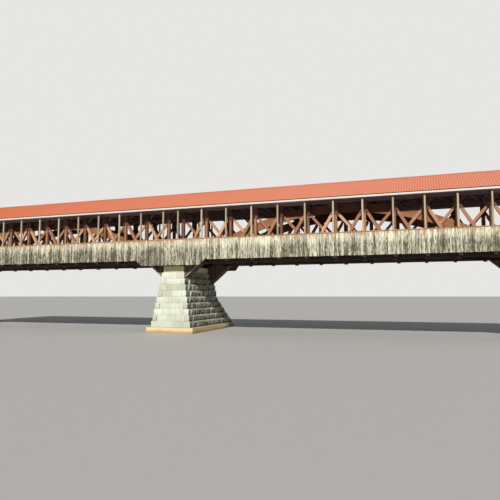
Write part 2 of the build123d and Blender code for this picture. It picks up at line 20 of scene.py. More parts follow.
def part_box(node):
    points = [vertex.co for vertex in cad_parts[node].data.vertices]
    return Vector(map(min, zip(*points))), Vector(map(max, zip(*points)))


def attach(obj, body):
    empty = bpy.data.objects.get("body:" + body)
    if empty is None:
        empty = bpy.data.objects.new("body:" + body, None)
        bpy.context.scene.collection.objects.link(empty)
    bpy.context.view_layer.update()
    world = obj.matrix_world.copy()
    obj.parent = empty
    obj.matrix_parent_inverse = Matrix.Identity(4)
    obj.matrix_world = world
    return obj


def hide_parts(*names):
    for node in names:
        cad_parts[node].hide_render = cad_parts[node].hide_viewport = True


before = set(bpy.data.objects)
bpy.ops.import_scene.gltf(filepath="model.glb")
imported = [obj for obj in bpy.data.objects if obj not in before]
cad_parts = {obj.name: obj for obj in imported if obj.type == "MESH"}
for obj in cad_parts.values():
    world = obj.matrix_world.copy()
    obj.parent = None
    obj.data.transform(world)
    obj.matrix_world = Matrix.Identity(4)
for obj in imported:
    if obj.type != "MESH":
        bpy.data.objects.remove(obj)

log = logging.getLogger("covered_bridge")
SIDES = {"front": -1, "back": 1}
ENDS = {"left": -1, "right": 1}
MERGED = 0.0005  # vertices nearer than this are one, in metres
LEVEL = 1.0  # faces whose directions differ by less than this many degrees are one
SQUARE = 0.9  # a face looks one way when its normal reaches this far along it
UP = Vector((0, 0, 1))
Piece = bpy.types.Object
Socket = bpy.types.NodeSocket
Surface = tuple[Socket, Socket]
Colour = tuple[float, float, float, float]
Value = Union[float, Sequence[float], Socket]


def deselect_all() -> None:
    """Leave nothing selected."""
    bpy.ops.object.select_all(action="DESELECT")


def activate(piece: Piece) -> None:
    """Select one object alone and make it the active one.

    Args:
        piece: the object.
    """
    deselect_all()
    piece.select_set(True)
    bpy.context.view_layer.objects.active = piece


@contextmanager
def editing(piece: Piece, action: str = "DESELECT") -> Iterator[None]:
    """Shape a mesh in edit mode, with nothing or everything selected at the start.

    Args:
        piece: the mesh object.
        action: DESELECT or SELECT.
    """
    activate(piece)
    bpy.ops.object.mode_set(mode="EDIT")
    bpy.ops.mesh.select_all(action=action)
    yield
    bpy.ops.object.mode_set(mode="OBJECT")


def pick(piece: Piece, kind: str, test: Callable[..., bool]) -> None:
    """Select the vertices, edges or faces that pass a test, and nothing else.

    Args:
        piece: the mesh object, in edit mode.
        kind: VERT, EDGE or FACE.
        test: says of an element whether it is wanted.
    """
    bpy.ops.mesh.select_mode(type=kind)
    bpy.ops.mesh.select_all(action="DESELECT")
    mesh = bmesh.from_edit_mesh(piece.data)
    for element in {"VERT": mesh.verts, "EDGE": mesh.edges, "FACE": mesh.faces}[kind]:
        if test(element):
            element.select_set(True)
    mesh.select_flush_mode()
    bmesh.update_edit_mesh(piece.data)


def facing(*direction: float) -> Callable[[bmesh.types.BMFace], bool]:
    """Test of a face that looks one way."""
    return lambda face: face.normal.dot(Vector(direction)) > SQUARE


def add_object(name: str, data: bpy.types.ID) -> Piece:
    """Add an object that shows a mesh, a camera or a light.

    Args:
        name: its name.
        data: what it shows.

    Returns:
        The object.
    """
    item = bpy.data.objects.new(name, data)
    bpy.context.scene.collection.objects.link(item)
    return item


def smooth(piece: Piece, sharp: float) -> None:
    """Shade a piece smooth, apart from edges sharper than so many degrees."""
    activate(piece)
    bpy.ops.object.shade_smooth_by_angle(angle=math.radians(sharp))


def add_block(name: str, low: Sequence[float], high: Sequence[float]) -> Piece:
    """Add a block between two corners, as the start of a piece.

    Args:
        name: the piece's name.
        low: its lowest corner.
        high: its highest corner.

    Returns:
        The block, with its place in its mesh.
    """
    low, high = Vector(low), Vector(high)
    deselect_all()
    bpy.ops.mesh.primitive_cube_add(size=1.0, location=(low + high) / 2, scale=high - low)
    piece = bpy.context.active_object
    piece.name = piece.data.name = name
    bpy.ops.object.transform_apply()
    return piece


def copy_of_node(name: str, node: str) -> Piece:
    """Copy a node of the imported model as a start, with its loose triangles merged.

    Args:
        name: the new piece's name.
        node: the node.

    Returns:
        The copy.
    """
    piece = add_object(name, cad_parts[node].data.copy())
    with editing(piece, "SELECT"):
        bpy.ops.mesh.remove_doubles(threshold=MERGED)
        bpy.ops.mesh.dissolve_limited(angle_limit=math.radians(LEVEL))
        bpy.ops.mesh.normals_make_consistent(inside=False)
    return piece


def cut_away(piece: Piece, point: Sequence[float], normal: Sequence[float]) -> None:
    """Cut off what lies beyond a plane, on the side that its normal points to, and close the cut."""
    with editing(piece, "SELECT"):
        bpy.ops.mesh.bisect(plane_co=point, plane_no=normal, use_fill=True, clear_outer=True)


def score(piece: Piece, axis: int, places: Sequence[float]) -> None:
    """Divide a piece's faces along planes square to one axis.

    Args:
        piece: the mesh object.
        axis: 0, 1 or 2.
        places: where the planes lie.
    """
    with editing(piece):
        for place in places:
            bpy.ops.mesh.select_all(action="SELECT")
            point, normal = Vector(), Vector()
            point[axis], normal[axis] = place, 1.0
            bpy.ops.mesh.bisect(plane_co=point, plane_no=normal)


def finish_with(piece: Piece, kind: str, **settings: object) -> None:
    """Add a modifier to a piece and apply it.

    Args:
        piece: the mesh object.
        kind: the modifier's type.
        settings: its settings.
    """
    activate(piece)
    modifier = piece.modifiers.new(kind.title(), kind)
    for key, value in settings.items():
        setattr(modifier, key, value)
    bpy.ops.object.modifier_apply(modifier=modifier.name)


def join_pieces(name: str, pieces: Sequence[Piece]) -> Piece:
    """Join objects in one.

    Args:
        name: the joined piece's name.
        pieces: the objects.

    Returns:
        The joined piece.
    """
    activate(pieces[0])
    for piece in pieces:
        piece.select_set(True)
    bpy.ops.object.join()
    pieces[0].name = pieces[0].data.name = name
    return pieces[0]


@dataclass(frozen=True)
class Copy:
    """A placed copy of a modelled piece.

    Attributes:
        master: the piece that is copied.
        place: where the copy goes, and how it is turned and sized.
        shade: its tone among its neighbours, from 0 to 1.
    """

    master: Piece
    place: Matrix
    shade: float


class Form:
    """A modelled piece read as arrays, so that it can be copied many times."""

    def __init__(self, piece: Piece) -> None:
        """Read a piece.

        Args:
            piece: the mesh object.
        """
        mesh = piece.data
        points = numpy.empty(len(mesh.vertices) * 3)
        mesh.vertices.foreach_get("co", points)
        self.points = points.reshape(-1, 3)
        faces = [list(face.vertices) for face in mesh.polygons]
        self.sizes = numpy.array([len(face) for face in faces])
        self.corners = numpy.array([corner for face in faces for corner in face])
        self.mirrored = numpy.array([corner for face in faces for corner in reversed(face)])


def join_copies(name: str, copies: Sequence[Copy], sharp: float = 30.0) -> Piece:
    """Join placed copies in one mesh, each with its own shade, and drop what they copy.

    Args:
        name: the joined piece's name.
        copies: the copies.
        sharp: edges sharper than this many degrees stay crisp.

    Returns:
        The joined piece.
    """
    masters = list(dict.fromkeys(copy.master for copy in copies))
    forms = {master: Form(master) for master in masters}
    points, corners, sizes, shades = [], [], [], []
    count = 0
    for copy in copies:
        form = forms[copy.master]
        turn = numpy.array(copy.place.to_3x3())
        points.append(form.points @ turn.T + numpy.array(copy.place.translation))
        corners.append((form.mirrored if numpy.linalg.det(turn) < 0 else form.corners) + count)
        sizes.append(form.sizes)
        shades.append(numpy.full(len(form.points), copy.shade))
        count += len(form.points)
    mesh = bpy.data.meshes.new(name)
    faces = numpy.concatenate(sizes)
    loops = numpy.concatenate(corners)
    mesh.vertices.add(count)
    mesh.vertices.foreach_set("co", numpy.concatenate(points).ravel())
    mesh.loops.add(len(loops))
    mesh.loops.foreach_set("vertex_index", loops)
    mesh.polygons.add(len(faces))
    mesh.polygons.foreach_set("loop_start", numpy.cumsum(faces) - faces)
    mesh.update(calc_edges=True)
    mesh.validate()
    mesh.attributes.new("shade", "FLOAT", "POINT").data.foreach_set("value", numpy.concatenate(shades))
    piece = add_object(name, mesh)
    for master in masters:
        bpy.data.objects.remove(master)
    smooth(piece, sharp)
    return piece


def placed(x_way: Sequence[float], y_way: Sequence[float], z_way: Sequence[float],
           spot: Sequence[float]) -> Matrix:
    """Matrix that lays X, Y and Z along three ways, each as long as its scale, at a spot."""
    columns = Matrix((x_way, y_way, z_way)).transposed().to_4x4()
    return Matrix.Translation(spot) @ columns


def across(side: int, near: float, far: float) -> list[float]:
    """Lowest and highest Y between two distances from the middle line, on side -1 or 1."""
    return sorted((side * near, side * far))


def shares(length: float, mean: float, spread: float, dice: random.Random) -> list[float]:
    """Divide a length in uneven parts.

    Args:
        length: the whole.
        mean: about how long a part is.
        spread: how far a part strays from the mean, as a share.
        dice: the source of chance.

    Returns:
        The parts' lengths, which add up to the whole.
    """
    count = max(1, round(length / mean))
    weights = [dice.uniform(1 - spread, 1 + spread) for _ in range(count)]
    return [length * weight / sum(weights) for weight in weights]


def paint(code: str) -> Colour:
    """Colour of a screen code, as light.

    Args:
        code: six hexadecimal digits.

    Returns:
        Red, green, blue and 1.
    """
    parts = [int(code[i:i + 2], 16) / 255 for i in (0, 2, 4)]
    red, green, blue = [c / 12.92 if c < 0.04045 else ((c + 0.055) / 1.055) ** 2.4 for c in parts]
    return (red, green, blue, 1.0)


class NodeKit:
    """Adds nodes to one tree and joins them up."""

    def __init__(self, tree: bpy.types.NodeTree) -> None:
        """Work on one tree."""
        self.tree = tree

    def add(self, kind: str, *values: Value, **settings: object) -> bpy.types.Node:
        """Add a node.

        Args:
            kind: its type.
            values: what its first inputs take, in order.
            settings: its settings.

        Returns:
            The node.
        """
        node = self.tree.nodes.new(kind)
        for key, value in settings.items():
            setattr(node, key, value)
        for socket, value in zip(node.inputs, values):
            self.feed(socket, value)
        return node

    def feed(self, socket: Socket, value: Value) -> None:
        """Give a socket a value, or join another socket to it.

        Args:
            socket: the input.
            value: a number, a colour or an output socket.
        """
        if isinstance(value, Socket):
            self.tree.links.new(value, socket)
        else:
            socket.default_value = value

    def fill(self, node: bpy.types.Node, values: dict[Union[str, int], Value]) -> None:
        """Give a node's inputs their values by name or number."""
        for key, value in values.items():
            self.feed(node.inputs[key], value)

    def math(self, operation: str, *values: Value, clamp: bool = False) -> Socket:
        """Work out a number, which a clamp keeps between 0 and 1."""
        return self.add("ShaderNodeMath", *values, operation=operation, use_clamp=clamp).outputs[0]

    def total(self, base: float, *terms: tuple[Socket, float]) -> Socket:
        """Add up values, each times its weight, held between 0 and 1.

        Args:
            base: the number to start from.
            terms: pairs of a value and its weight.

        Returns:
            The sum.
        """
        result: Value = base
        for value, weight in terms:
            result = self.math("MULTIPLY_ADD", value, weight, result)
        return self.math("ADD", result, 0.0, clamp=True)

    def mix(self, share: Value, first: Value, second: Value, blend: str = "MIX") -> Socket:
        """Mix two colours.

        Args:
            share: how much of the second.
            first: the first colour.
            second: the second colour.
            blend: the way of mixing.

        Returns:
            The mixed colour.
        """
        node = self.add("ShaderNodeMix", share, data_type="RGBA", blend_type=blend)
        self.fill(node, {6: first, 7: second})
        return node.outputs[2]

    def coats(self, ground: str, *coats: tuple[Value, str]) -> Socket:
        """Lay colours over one another.

        Args:
            ground: the lowest colour's code.
            coats: pairs of how much of a colour shows and its code.

        Returns:
            The colour.
        """
        colour: Value = paint(ground)
        for share, code in coats:
            colour = self.mix(share, colour, paint(code))
        return colour

    def noise(self, place: Socket, stretch: Sequence[float], detail: float = 4.0,
              rough: float = 0.55) -> Socket:
        """Cloudy noise, stretched along the axes.

        Args:
            place: the coordinates, in metres.
            stretch: waves in a metre along each axis.
            detail: how many finer layers it has.
            rough: how strong they are.

        Returns:
            A value from 0 to 1.
        """
        scaled = self.add("ShaderNodeVectorMath", place, stretch, operation="MULTIPLY").outputs[0]
        node = self.add("ShaderNodeTexNoise")
        self.fill(node, {"Vector": scaled, "Scale": 1.0, "Detail": detail, "Roughness": rough})
        return node.outputs[0]

    def band(self, value: Value, low: float, high: float) -> Socket:
        """Rise smoothly from 0 where the value is low to 1 where it is high."""
        return self.add("ShaderNodeMapRange", value, low, high,
                        interpolation_type="SMOOTHSTEP").outputs[0]

    def place(self) -> Socket:
        """The point's place on the bridge, in metres."""
        return self.add("ShaderNodeTexCoord").outputs["Object"]

    def parts(self, place: Socket) -> list[Socket]:
        """A place's distances along X, Y and Z."""
        return list(self.add("ShaderNodeSeparateXYZ", place).outputs)

    def joined(self, *distances: Value) -> Socket:
        """The place at three distances along X, Y and Z."""
        return self.add("ShaderNodeCombineXYZ", *distances).outputs[0]

    def moved(self, place: Socket, distance: Value) -> Socket:
        """Move a place the same distance along each axis."""
        shift = self.joined(distance, distance, distance)
        return self.add("ShaderNodeVectorMath", place, shift, operation="ADD").outputs[0]

    def chance(self, seed: Value) -> Socket:
        """A chance value from 0 to 1 that stays the same for the same seed.

        Args:
            seed: the number it depends on.

        Returns:
            The value.
        """
        node = self.add("ShaderNodeTexWhiteNoise", noise_dimensions="1D")
        self.feed(node.inputs["W"], seed)
        return node.outputs["Value"]

    def sides(self) -> list[Socket]:
        """The surface's direction along X, Y and Z."""
        return self.parts(self.add("ShaderNodeNewGeometry").outputs["Normal"])

    def inward(self) -> Socket:
        """1 where the surface looks towards the bridge's middle, and 0 where it looks out.

        Returns:
            The mask.
        """
        x, y, _ = self.parts(self.place())
        along, across, _ = self.sides()
        out = self.math("MULTIPLY", along, self.math("SIGN", x))
        out = self.math("MULTIPLY_ADD", across, self.math("SIGN", y), out)
        return self.band(out, -0.2, -0.6)

    def shade(self) -> Socket:
        """The piece's own shade among its neighbours."""
        return self.add("ShaderNodeAttribute", attribute_name="shade").outputs["Fac"]


class Effect:
    """A shared effect, built once as a node group and placed in each finish that uses it."""

    name = ""
    outputs: tuple[str, ...] = ()

    def values(self, kit: NodeKit, place: Socket) -> list[Socket]:
        """One value for each output of the effect, at a place in metres."""
        raise NotImplementedError

    def tree(self) -> bpy.types.NodeTree:
        """The group's tree, made when it is first wanted.

        Returns:
            The tree.
        """
        if self.name in bpy.data.node_groups:
            return bpy.data.node_groups[self.name]
        tree = bpy.data.node_groups.new(self.name, "ShaderNodeTree")
        tree.interface.new_socket(name="Place", in_out="INPUT", socket_type="NodeSocketVector")
        for output in self.outputs:
            tree.interface.new_socket(name=output, in_out="OUTPUT", socket_type="NodeSocketFloat")
        kit = NodeKit(tree)
        given = kit.add("NodeGroupInput").outputs["Place"]
        kit.add("NodeGroupOutput", *self.values(kit, given))
        return tree

    def put(self, kit: NodeKit, place: Socket) -> list[Socket]:
        """Place the effect in a finish, and give its outputs."""
        node = kit.add("ShaderNodeGroup", place, node_tree=self.tree())
        return [node.outputs[output] for output in self.outputs]


class WoodGrain(Effect):
    """Sawn wood whose grain runs along X: broad streaks, fine fibres and drying checks."""

    name = "wood_grain"
    outputs = ("Streaks", "Fibres", "Checks")

    def values(self, kit: NodeKit, place: Socket) -> list[Socket]:
        """See Effect.values."""
        streaks = kit.noise(place, (0.9, 22.0, 22.0), detail=5.0, rough=0.6)
        fibres = kit.noise(place, (3.0, 150.0, 150.0), detail=3.0, rough=0.6)
        cracks = kit.noise(place, (1.3, 60.0, 60.0), detail=2.0, rough=0.5)
        return [streaks, fibres, kit.band(cracks, 0.66, 0.72)]


class Weather(Effect):
    """What rain and sun leave: broad patches, streaks that run down, and specks."""

    name = "weather"
    outputs = ("Patches", "Runs", "Specks")

    def values(self, kit: NodeKit, place: Socket) -> list[Socket]:
        """See Effect.values."""
        patches = kit.noise(place, (0.7, 0.7, 0.9), detail=5.0, rough=0.6)
        runs = kit.noise(place, (11.0, 11.0, 0.55), detail=4.0, rough=0.6)
        specks = kit.noise(place, (28.0, 28.0, 28.0), detail=4.0, rough=0.65)
        return [patches, runs, specks]


WOOD_GRAIN = WoodGrain()
WEATHER = Weather()


class Way(Enum):
    """The way a timber's grain runs."""

    ALONG = "along the bridge"
    ACROSS = "across the bridge"
    UPRIGHT = "upright"
    BRACE = "up the main braces"
    COUNTER = "up the counterbraces"
    ARCH = "round the arches"


@dataclass(frozen=True)
class Truss:
    """Lines of the truss that the slanted timbers follow.

    Attributes:
        first_post: the first post's distance from the bridge's middle.
        panel: from post to post.
        panels: panels of a span.
        turn: where the braces change direction.
        brace_angle: slope of the main braces.
        counter_angle: slope of the counterbraces.
        arch_depth: depth of the arches.
    """

    first_post: float = 0.4
    panel: float = 1.25
    panels: int = 13
    turn: float = 9.15
    brace_angle: float = 60.0
    counter_angle: float = -49.7
    arch_depth: float = 0.38

    def posts(self) -> list[float]:
        """Places of a span's posts."""
        return [self.first_post + number * self.panel for number in range(self.panels + 1)]

    def arch_circle(self) -> tuple[float, float, float]:
        """Middle, centre height and inner radius of the right span's arches."""
        low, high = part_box("right_front_arch")
        half, rise = (high.x - low.x) / 2, high.z - self.arch_depth - low.z
        radius = (half ** 2 + rise ** 2) / (2 * rise)
        return (low.x + high.x) / 2, high.z - self.arch_depth - radius, radius


TRUSS = Truss()


def grain_place(kit: NodeKit, way: Way) -> Socket:
    """Coordinates whose X runs with the grain.

    Args:
        kit: adds nodes to the finish.
        way: the way the grain runs.

    Returns:
        The coordinates, in metres.
    """
    x, y, z = kit.parts(kit.place())
    if way is Way.ALONG:
        return kit.joined(x, y, z)
    if way is Way.ACROSS:
        return kit.joined(y, x, z)
    if way is Way.UPRIGHT:
        return kit.joined(z, x, y)
    if way is Way.ARCH:
        middle, centre, radius = TRUSS.arch_circle()
        over = kit.math("SUBTRACT", kit.math("ABSOLUTE", x), middle)
        rise = kit.math("SUBTRACT", z, centre)
        angle = kit.math("ARCTAN2", over, rise)
        reach = kit.math("SQRT", kit.math("MULTIPLY_ADD", over, over, kit.math("MULTIPLY", rise, rise)))
        return kit.joined(kit.math("MULTIPLY", angle, radius), reach, kit.math("ADD", x, y))
    angle = math.radians(TRUSS.brace_angle if way is Way.BRACE else TRUSS.counter_angle)
    out = kit.math("ABSOLUTE", x)
    turned = kit.math("SIGN", kit.math("SUBTRACT", TRUSS.turn, out))
    run = kit.math("MULTIPLY", out, turned)
    up = kit.math("MULTIPLY_ADD", run, math.cos(angle), kit.math("MULTIPLY", z, math.sin(angle)))
    over = kit.math("MULTIPLY_ADD", run, -math.sin(angle), kit.math("MULTIPLY", z, math.cos(angle)))
    return kit.joined(up, over, kit.math("ADD", y, kit.math("MULTIPLY", kit.math("SIGN", x), 5.0)))


def cell_shade(kit: NodeKit, size: float, between_spans: float = 37.3,
               between_sides: float = 91.7) -> Socket:
    """A shade that changes from one cell along the bridge to the next, with each span's posts
    in the middle of their cells.

    Args:
        kit: adds nodes to the finish.
        size: the cells' length.
        between_spans: shift of the chance from one span to the other.
        between_sides: the same from one side to the other.

    Returns:
        The shade.
    """
    x, y, _ = kit.parts(kit.place())
    out = kit.math("SUBTRACT", kit.math("ABSOLUTE", x), TRUSS.first_post - size / 2)
    cell = kit.math("FLOOR", kit.math("DIVIDE", out, size))
    ends = kit.math("MULTIPLY_ADD", kit.math("SIGN", x), between_spans, cell)
    return kit.chance(kit.math("MULTIPLY_ADD", kit.math("SIGN", y), between_sides, ends))


@dataclass(frozen=True)
class Finish:
    """A surface finish.

    Attributes:
        name: the material's name.
        rough: roughness of the surface.
        metal: how metallic it is.
        relief: depth of its fine relief, in metres.
    """

    name: str
    rough: float = 0.85
    metal: float = 0.0
    relief: float = 0.002

    def surface(self, kit: NodeKit) -> Surface:
        """The surface's colour, and its relief from 0 to 1."""
        raise NotImplementedError

    def material(self) -> bpy.types.Material:
        """The material, made when it is first wanted.

        Returns:
            The material.
        """
        if self.name in bpy.data.materials:
            return bpy.data.materials[self.name]
        material = bpy.data.materials.new(self.name)
        material.use_nodes = True
        material.node_tree.nodes.clear()
        kit = NodeKit(material.node_tree)
        shader, bump = kit.add("ShaderNodeBsdfPrincipled"), kit.add("ShaderNodeBump")
        kit.add("ShaderNodeOutputMaterial", shader.outputs["BSDF"])
        colour, height = self.surface(kit)
        kit.fill(bump, {"Distance": self.relief, "Strength": 1.0, "Height": height})
        kit.fill(shader, {"Base Color": colour, "Normal": bump.outputs["Normal"],
                          "Roughness": self.rough, "Metallic": self.metal})
        return material


@dataclass(frozen=True)
class Timber(Finish):
    """Sawn timber, streaked and checked by age, and painted darker as shade above and below given heights.

    Attributes:
        dark: colour in its dark streaks.
        light: colour between them.
        way: the way its grain runs.
        cell: length of the cells that differ in tone; 0 reads the piece's own shade.
        contrast: how far one timber differs from the next.
        high_shade: height above which the wood is painted darker, as the shade that the eave casts on it.
        low_shade: height below which the wood is painted darker, as the shade under the siding and the
            deck.
        shade_tint: the darker tint that the colour is multiplied by in these bands of painted shade.
        crack: colour in the drying checks.
    """

    dark: str = "3a2a22"
    light: str = "8a6a50"
    way: Way = Way.ALONG
    cell: float = 0.0
    contrast: float = 0.45
    high_shade: float = 9.0
    low_shade: float = 0.0
    shade_tint: str = "a698b0"
    crack: str = "1c1512"

    def surface(self, kit: NodeKit) -> Surface:
        """See Finish.surface."""
        streaks, fibres, checks = WOOD_GRAIN.put(kit, grain_place(kit, self.way))
        patches, _, specks = WEATHER.put(kit, kit.place())
        tone = cell_shade(kit, self.cell) if self.cell else kit.shade()
        base = 0.05 - self.contrast / 2
        share = kit.total(base, (streaks, 0.45), (fibres, 0.2), (patches, 0.3), (tone, self.contrast))
        cracked = kit.math("MULTIPLY", checks, 0.55)
        soiled = kit.coats(self.dark, (share, self.light), (cracked, self.crack))
        height = kit.total(0.3, (streaks, 0.35), (fibres, 0.25), (specks, 0.1), (checks, -0.6))
        # Painted shade: above the eave's shadow line and below the shade line under the siding and deck,
        # the colour is multiplied by a darker tint.
        level = kit.math("MULTIPLY_ADD", patches, 0.10, kit.parts(kit.place())[2])
        above = kit.band(level, self.high_shade + 0.02, self.high_shade + 0.09)
        below = kit.band(level, self.low_shade + 0.10, self.low_shade)
        share = kit.math("MAXIMUM", above, below)
        return kit.mix(share, soiled, paint(self.shade_tint), "MULTIPLY"), height


@dataclass(frozen=True)
class WeatheredBoards(Finish):
    """Unpainted boards bleached by the sun, streaked and speckled by the rain.

    Attributes:
        pale: colour of the bleached wood.
        dark: colour of the streaks and specks.
        warm: colour of the brown drips from the boards' tops.
        inner: colour of the sheltered inner faces.
        crack: colour in the drying checks.
        top: height of the boards' tops, where the drips start.
        reach: how far down every drip reaches, and how much farther the longest ones do.
        darkening_span: where along the bridge the boards begin to darken, and where they are darkest,
            towards the left end.
    """

    pale: str = "e9e5cb"
    dark: str = "4e4836"
    warm: str = "b58450"
    inner: str = "4a3a2e"
    crack: str = "2a251e"
    top: float = 4.465
    reach: tuple[float, float] = (0.035, 0.42)
    darkening_span: tuple[float, float] = (3.0, -11.0)

    def surface(self, kit: NodeKit) -> Surface:
        """See Finish.surface."""
        place = kit.place()
        streaks, fibres, checks = WOOD_GRAIN.put(kit, grain_place(kit, Way.UPRIGHT))
        patches, _, specks = WEATHER.put(kit, place)
        own = kit.moved(place, kit.math("MULTIPLY", kit.shade(), 41.0))
        bars = kit.noise(own, (11.0, 11.0, 0.8), detail=5.0, rough=0.65)
        flecks = kit.noise(own, (26.0, 26.0, 5.5), detail=5.0, rough=0.7)
        x, _, z = kit.parts(place)
        depth = kit.math("SUBTRACT", self.top, z)
        low = kit.band(depth, 0.1, 0.6)
        # The boards are darker towards the left end of the bridge.
        leftward_darkening = kit.band(x, *self.darkening_span)
        light = kit.total(-3.19, (bars, 2.7), (flecks, 2.7), (kit.shade(), 0.45), (patches, 0.4),
                          (streaks, 0.7), (fibres, 0.9), (low, -0.48), (leftward_darkening, -0.16))
        drip = kit.band(kit.noise(place, (13.0, 13.0, 0.3), detail=2.0), 0.42, 0.68)
        reach = kit.math("MULTIPLY_ADD", drip, self.reach[1], self.reach[0])
        browned = kit.math("MULTIPLY", kit.band(depth, reach, 0.0), 0.82)
        cracked = kit.math("MULTIPLY", checks, 0.6)
        colour = kit.coats(self.dark, (light, self.pale), (browned, self.warm), (cracked, self.crack),
                           (kit.inward(), self.inner))
        return colour, kit.total(0.3, (streaks, 0.4), (fibres, 0.25), (specks, 0.1), (checks, -0.6))


@dataclass(frozen=True)
class RibbedMetal(Finish):
    """Red paint on roofing metal, faded by the sun and streaked down the slope, paler towards the right end
    as a painted sheen, and with painted shade along the ribs.

    Attributes:
        faded: colour of the chalky paint, and of the painted sheen.
        sound: colour where the paint is still deep.
        worn: colour of rusty streaks, and of the painted shade along the ribs.
        pitch: from rib to rib; 0 for plain metal.
        start: place of the first sheet's edge.
        painted_sheen_span: where along the bridge a painted sheen begins to pale the paint, and where it is
            palest.
    """

    faded: str = "e39278"
    sound: str = "da7445"
    worn: str = "9a4a34"
    pitch: float = 0.0
    start: float = 0.0
    painted_sheen_span: tuple[float, float] = (-14.0, 12.0)

    def surface(self, kit: NodeKit) -> Surface:
        """See Finish.surface."""
        place = kit.place()
        x, _, z = kit.parts(place)
        patches, runs, specks = WEATHER.put(kit, kit.joined(x, 0.0, z))
        broad = kit.noise(place, (0.10, 0.3, 0.3), detail=2.0)
        # Part painted sheen: on top of the chalky patches and runs, the paint pales towards the right end
        # as a sheen.
        chalk_and_sheen = kit.total(-0.48, (patches, 0.4), (runs, 0.45), (broad, 0.45), (kit.shade(), 0.07),
                          (kit.band(x, *self.painted_sheen_span), 0.55))
        rust = kit.band(kit.total(0.0, (runs, 0.7), (specks, 0.3)), 0.60, 0.72)
        rusted = kit.math("MULTIPLY", rust, 0.25)
        colour = kit.coats(self.sound, (chalk_and_sheen, self.faded), (rusted, self.worn))
        # Painted shade: the ribs are darkened to stand for the shade on their flanks.
        if self.pitch:
            count = kit.math("DIVIDE", kit.math("SUBTRACT", x, self.start), self.pitch)
            aside = kit.math("ABSOLUTE", kit.math("SUBTRACT", kit.math("FRACT", count), 0.5))
            dirt = kit.math("MULTIPLY", kit.band(aside, 0.30, 0.15), 0.30)
            colour = kit.mix(dirt, colour, paint(self.worn))
        return colour, kit.total(0.2, (specks, 0.3), (runs, 0.3))


@dataclass(frozen=True)
class Paint(Finish):
    """Cream paint on boards, dulled and flaking a little.

    Attributes:
        fresh: colour of the paint.
        dull: colour where it is dirty.
        bare: colour of the wood under it.
        way: the way the boards run.
    """

    fresh: str = "dfded3"
    dull: str = "c2bdac"
    bare: str = "8d7d68"
    way: Way = Way.ALONG

    def surface(self, kit: NodeKit) -> Surface:
        """See Finish.surface."""
        streaks, fibres, _ = WOOD_GRAIN.put(kit, grain_place(kit, self.way))
        patches, runs, specks = WEATHER.put(kit, kit.place())
        dirt = kit.total(-0.35, (runs, 0.6), (patches, 0.5), (streaks, 0.3))
        flaked = kit.band(kit.total(0.0, (specks, 0.6), (fibres, 0.4)), 0.64, 0.68)
        lost = kit.math("MULTIPLY", flaked, 0.8)
        colour = kit.coats(self.fresh, (dirt, self.dull), (lost, self.bare))
        return colour, kit.total(0.5, (fibres, 0.2), (flaked, -0.4))


@dataclass(frozen=True)
class Granite(Finish):
    """Rock-faced granite, pale on the face and stained down the sides, and painted darker as shade on the
    faces that look along the bridge.

    Attributes:
        pale: colour of clean stone.
        grey: colour of its darker blocks.
        stain: colour of the water and rust stains that run down, also laid on the flanks as painted shade.
        flank_shade: colour of the painted shade on the flanks, the faces that look along the bridge.
        grain: colour of its dark crystals.
        line: height of the water stain.
        first: height of the first course's foot.
        course: height of a course.
    """

    pale: str = "dde1d2"
    grey: str = "a9ab93"
    stain: str = "5a4c39"
    flank_shade: str = "2f261a"
    grain: str = "98937f"
    line: float = 0.45
    first: float = 0.26
    course: float = 0.293

    def surface(self, kit: NodeKit) -> Surface:
        """See Finish.surface."""
        place = kit.place()
        patches, runs, specks = WEATHER.put(kit, place)
        grains = kit.noise(place, (140.0, 140.0, 140.0), detail=3.0, rough=0.7)
        share = kit.total(-0.85, (kit.shade(), 0.65), (patches, 1.0), (specks, 0.7))
        z = kit.parts(place)[2]
        low = kit.band(z, self.line * 1.4, self.line * 0.4)
        # Painted shade: faces that look along the bridge are darkened by the stain and by dark blots; in
        # each course the foot is painted darker as shade and the top paler as a painted highlight on the
        # ledge.
        aside = kit.band(kit.math("ABSOLUTE", kit.sides()[0]), 0.35, 0.9)
        stained = kit.total(-1.30, (runs, 1.1), (patches, 0.8), (specks, 0.5), (low, 0.1),
                            (aside, 0.42))
        blots = kit.band(kit.noise(place, (4.5, 6.5, 9.0), detail=8.0, rough=0.72), 0.42, 0.62)
        level = kit.math("FRACT", kit.math("DIVIDE", kit.math("SUBTRACT", z, self.first), self.course))
        flank_shade_share = kit.total(0.06, (blots, 1.0), (kit.band(level, 0.45, 0.0), 0.45),
                          (kit.band(level, 0.62, 0.95), -0.75))
        flank_shade = kit.math("MULTIPLY", flank_shade_share, aside)
        colour = kit.coats(self.pale, (share, self.grey), (stained, self.stain), (flank_shade, self.flank_shade),
                           (kit.band(grains, 0.60, 0.72), self.grain))
        return colour, kit.total(0.0, (specks, 0.7), (grains, 0.3))


@dataclass(frozen=True)
class Cement(Finish):
    """Concrete or mortar, mottled and stained.

    Attributes:
        pale: colour of clean concrete.
        dark: colour of its stains.
        rust: colour of the water line.
        line: height of the water line; 0 for none.
    """

    pale: str = "b9b393"
    dark: str = "6d6850"
    rust: str = "c1935a"
    line: float = 0.0

    def surface(self, kit: NodeKit) -> Surface:
        """See Finish.surface."""
        place = kit.place()
        patches, runs, specks = WEATHER.put(kit, place)
        pits = kit.noise(place, (90.0, 90.0, 90.0), detail=2.0)
        share = kit.total(-0.45, (patches, 0.7), (runs, 0.6), (specks, 0.4))
        colour = kit.coats(self.pale, (share, self.dark))
        if self.line:
            z = kit.parts(place)[2]
            height = kit.math("MULTIPLY_ADD", patches, 0.36, z)
            wet = kit.band(height, self.line + 0.24, self.line + 0.12)
            wet = kit.total(0.0, (wet, 0.75), (kit.math("MULTIPLY", wet, specks), 0.4))
            colour = kit.mix(wet, colour, paint(self.rust))
        return colour, kit.total(0.1, (specks, 0.4), (pits, 0.4))


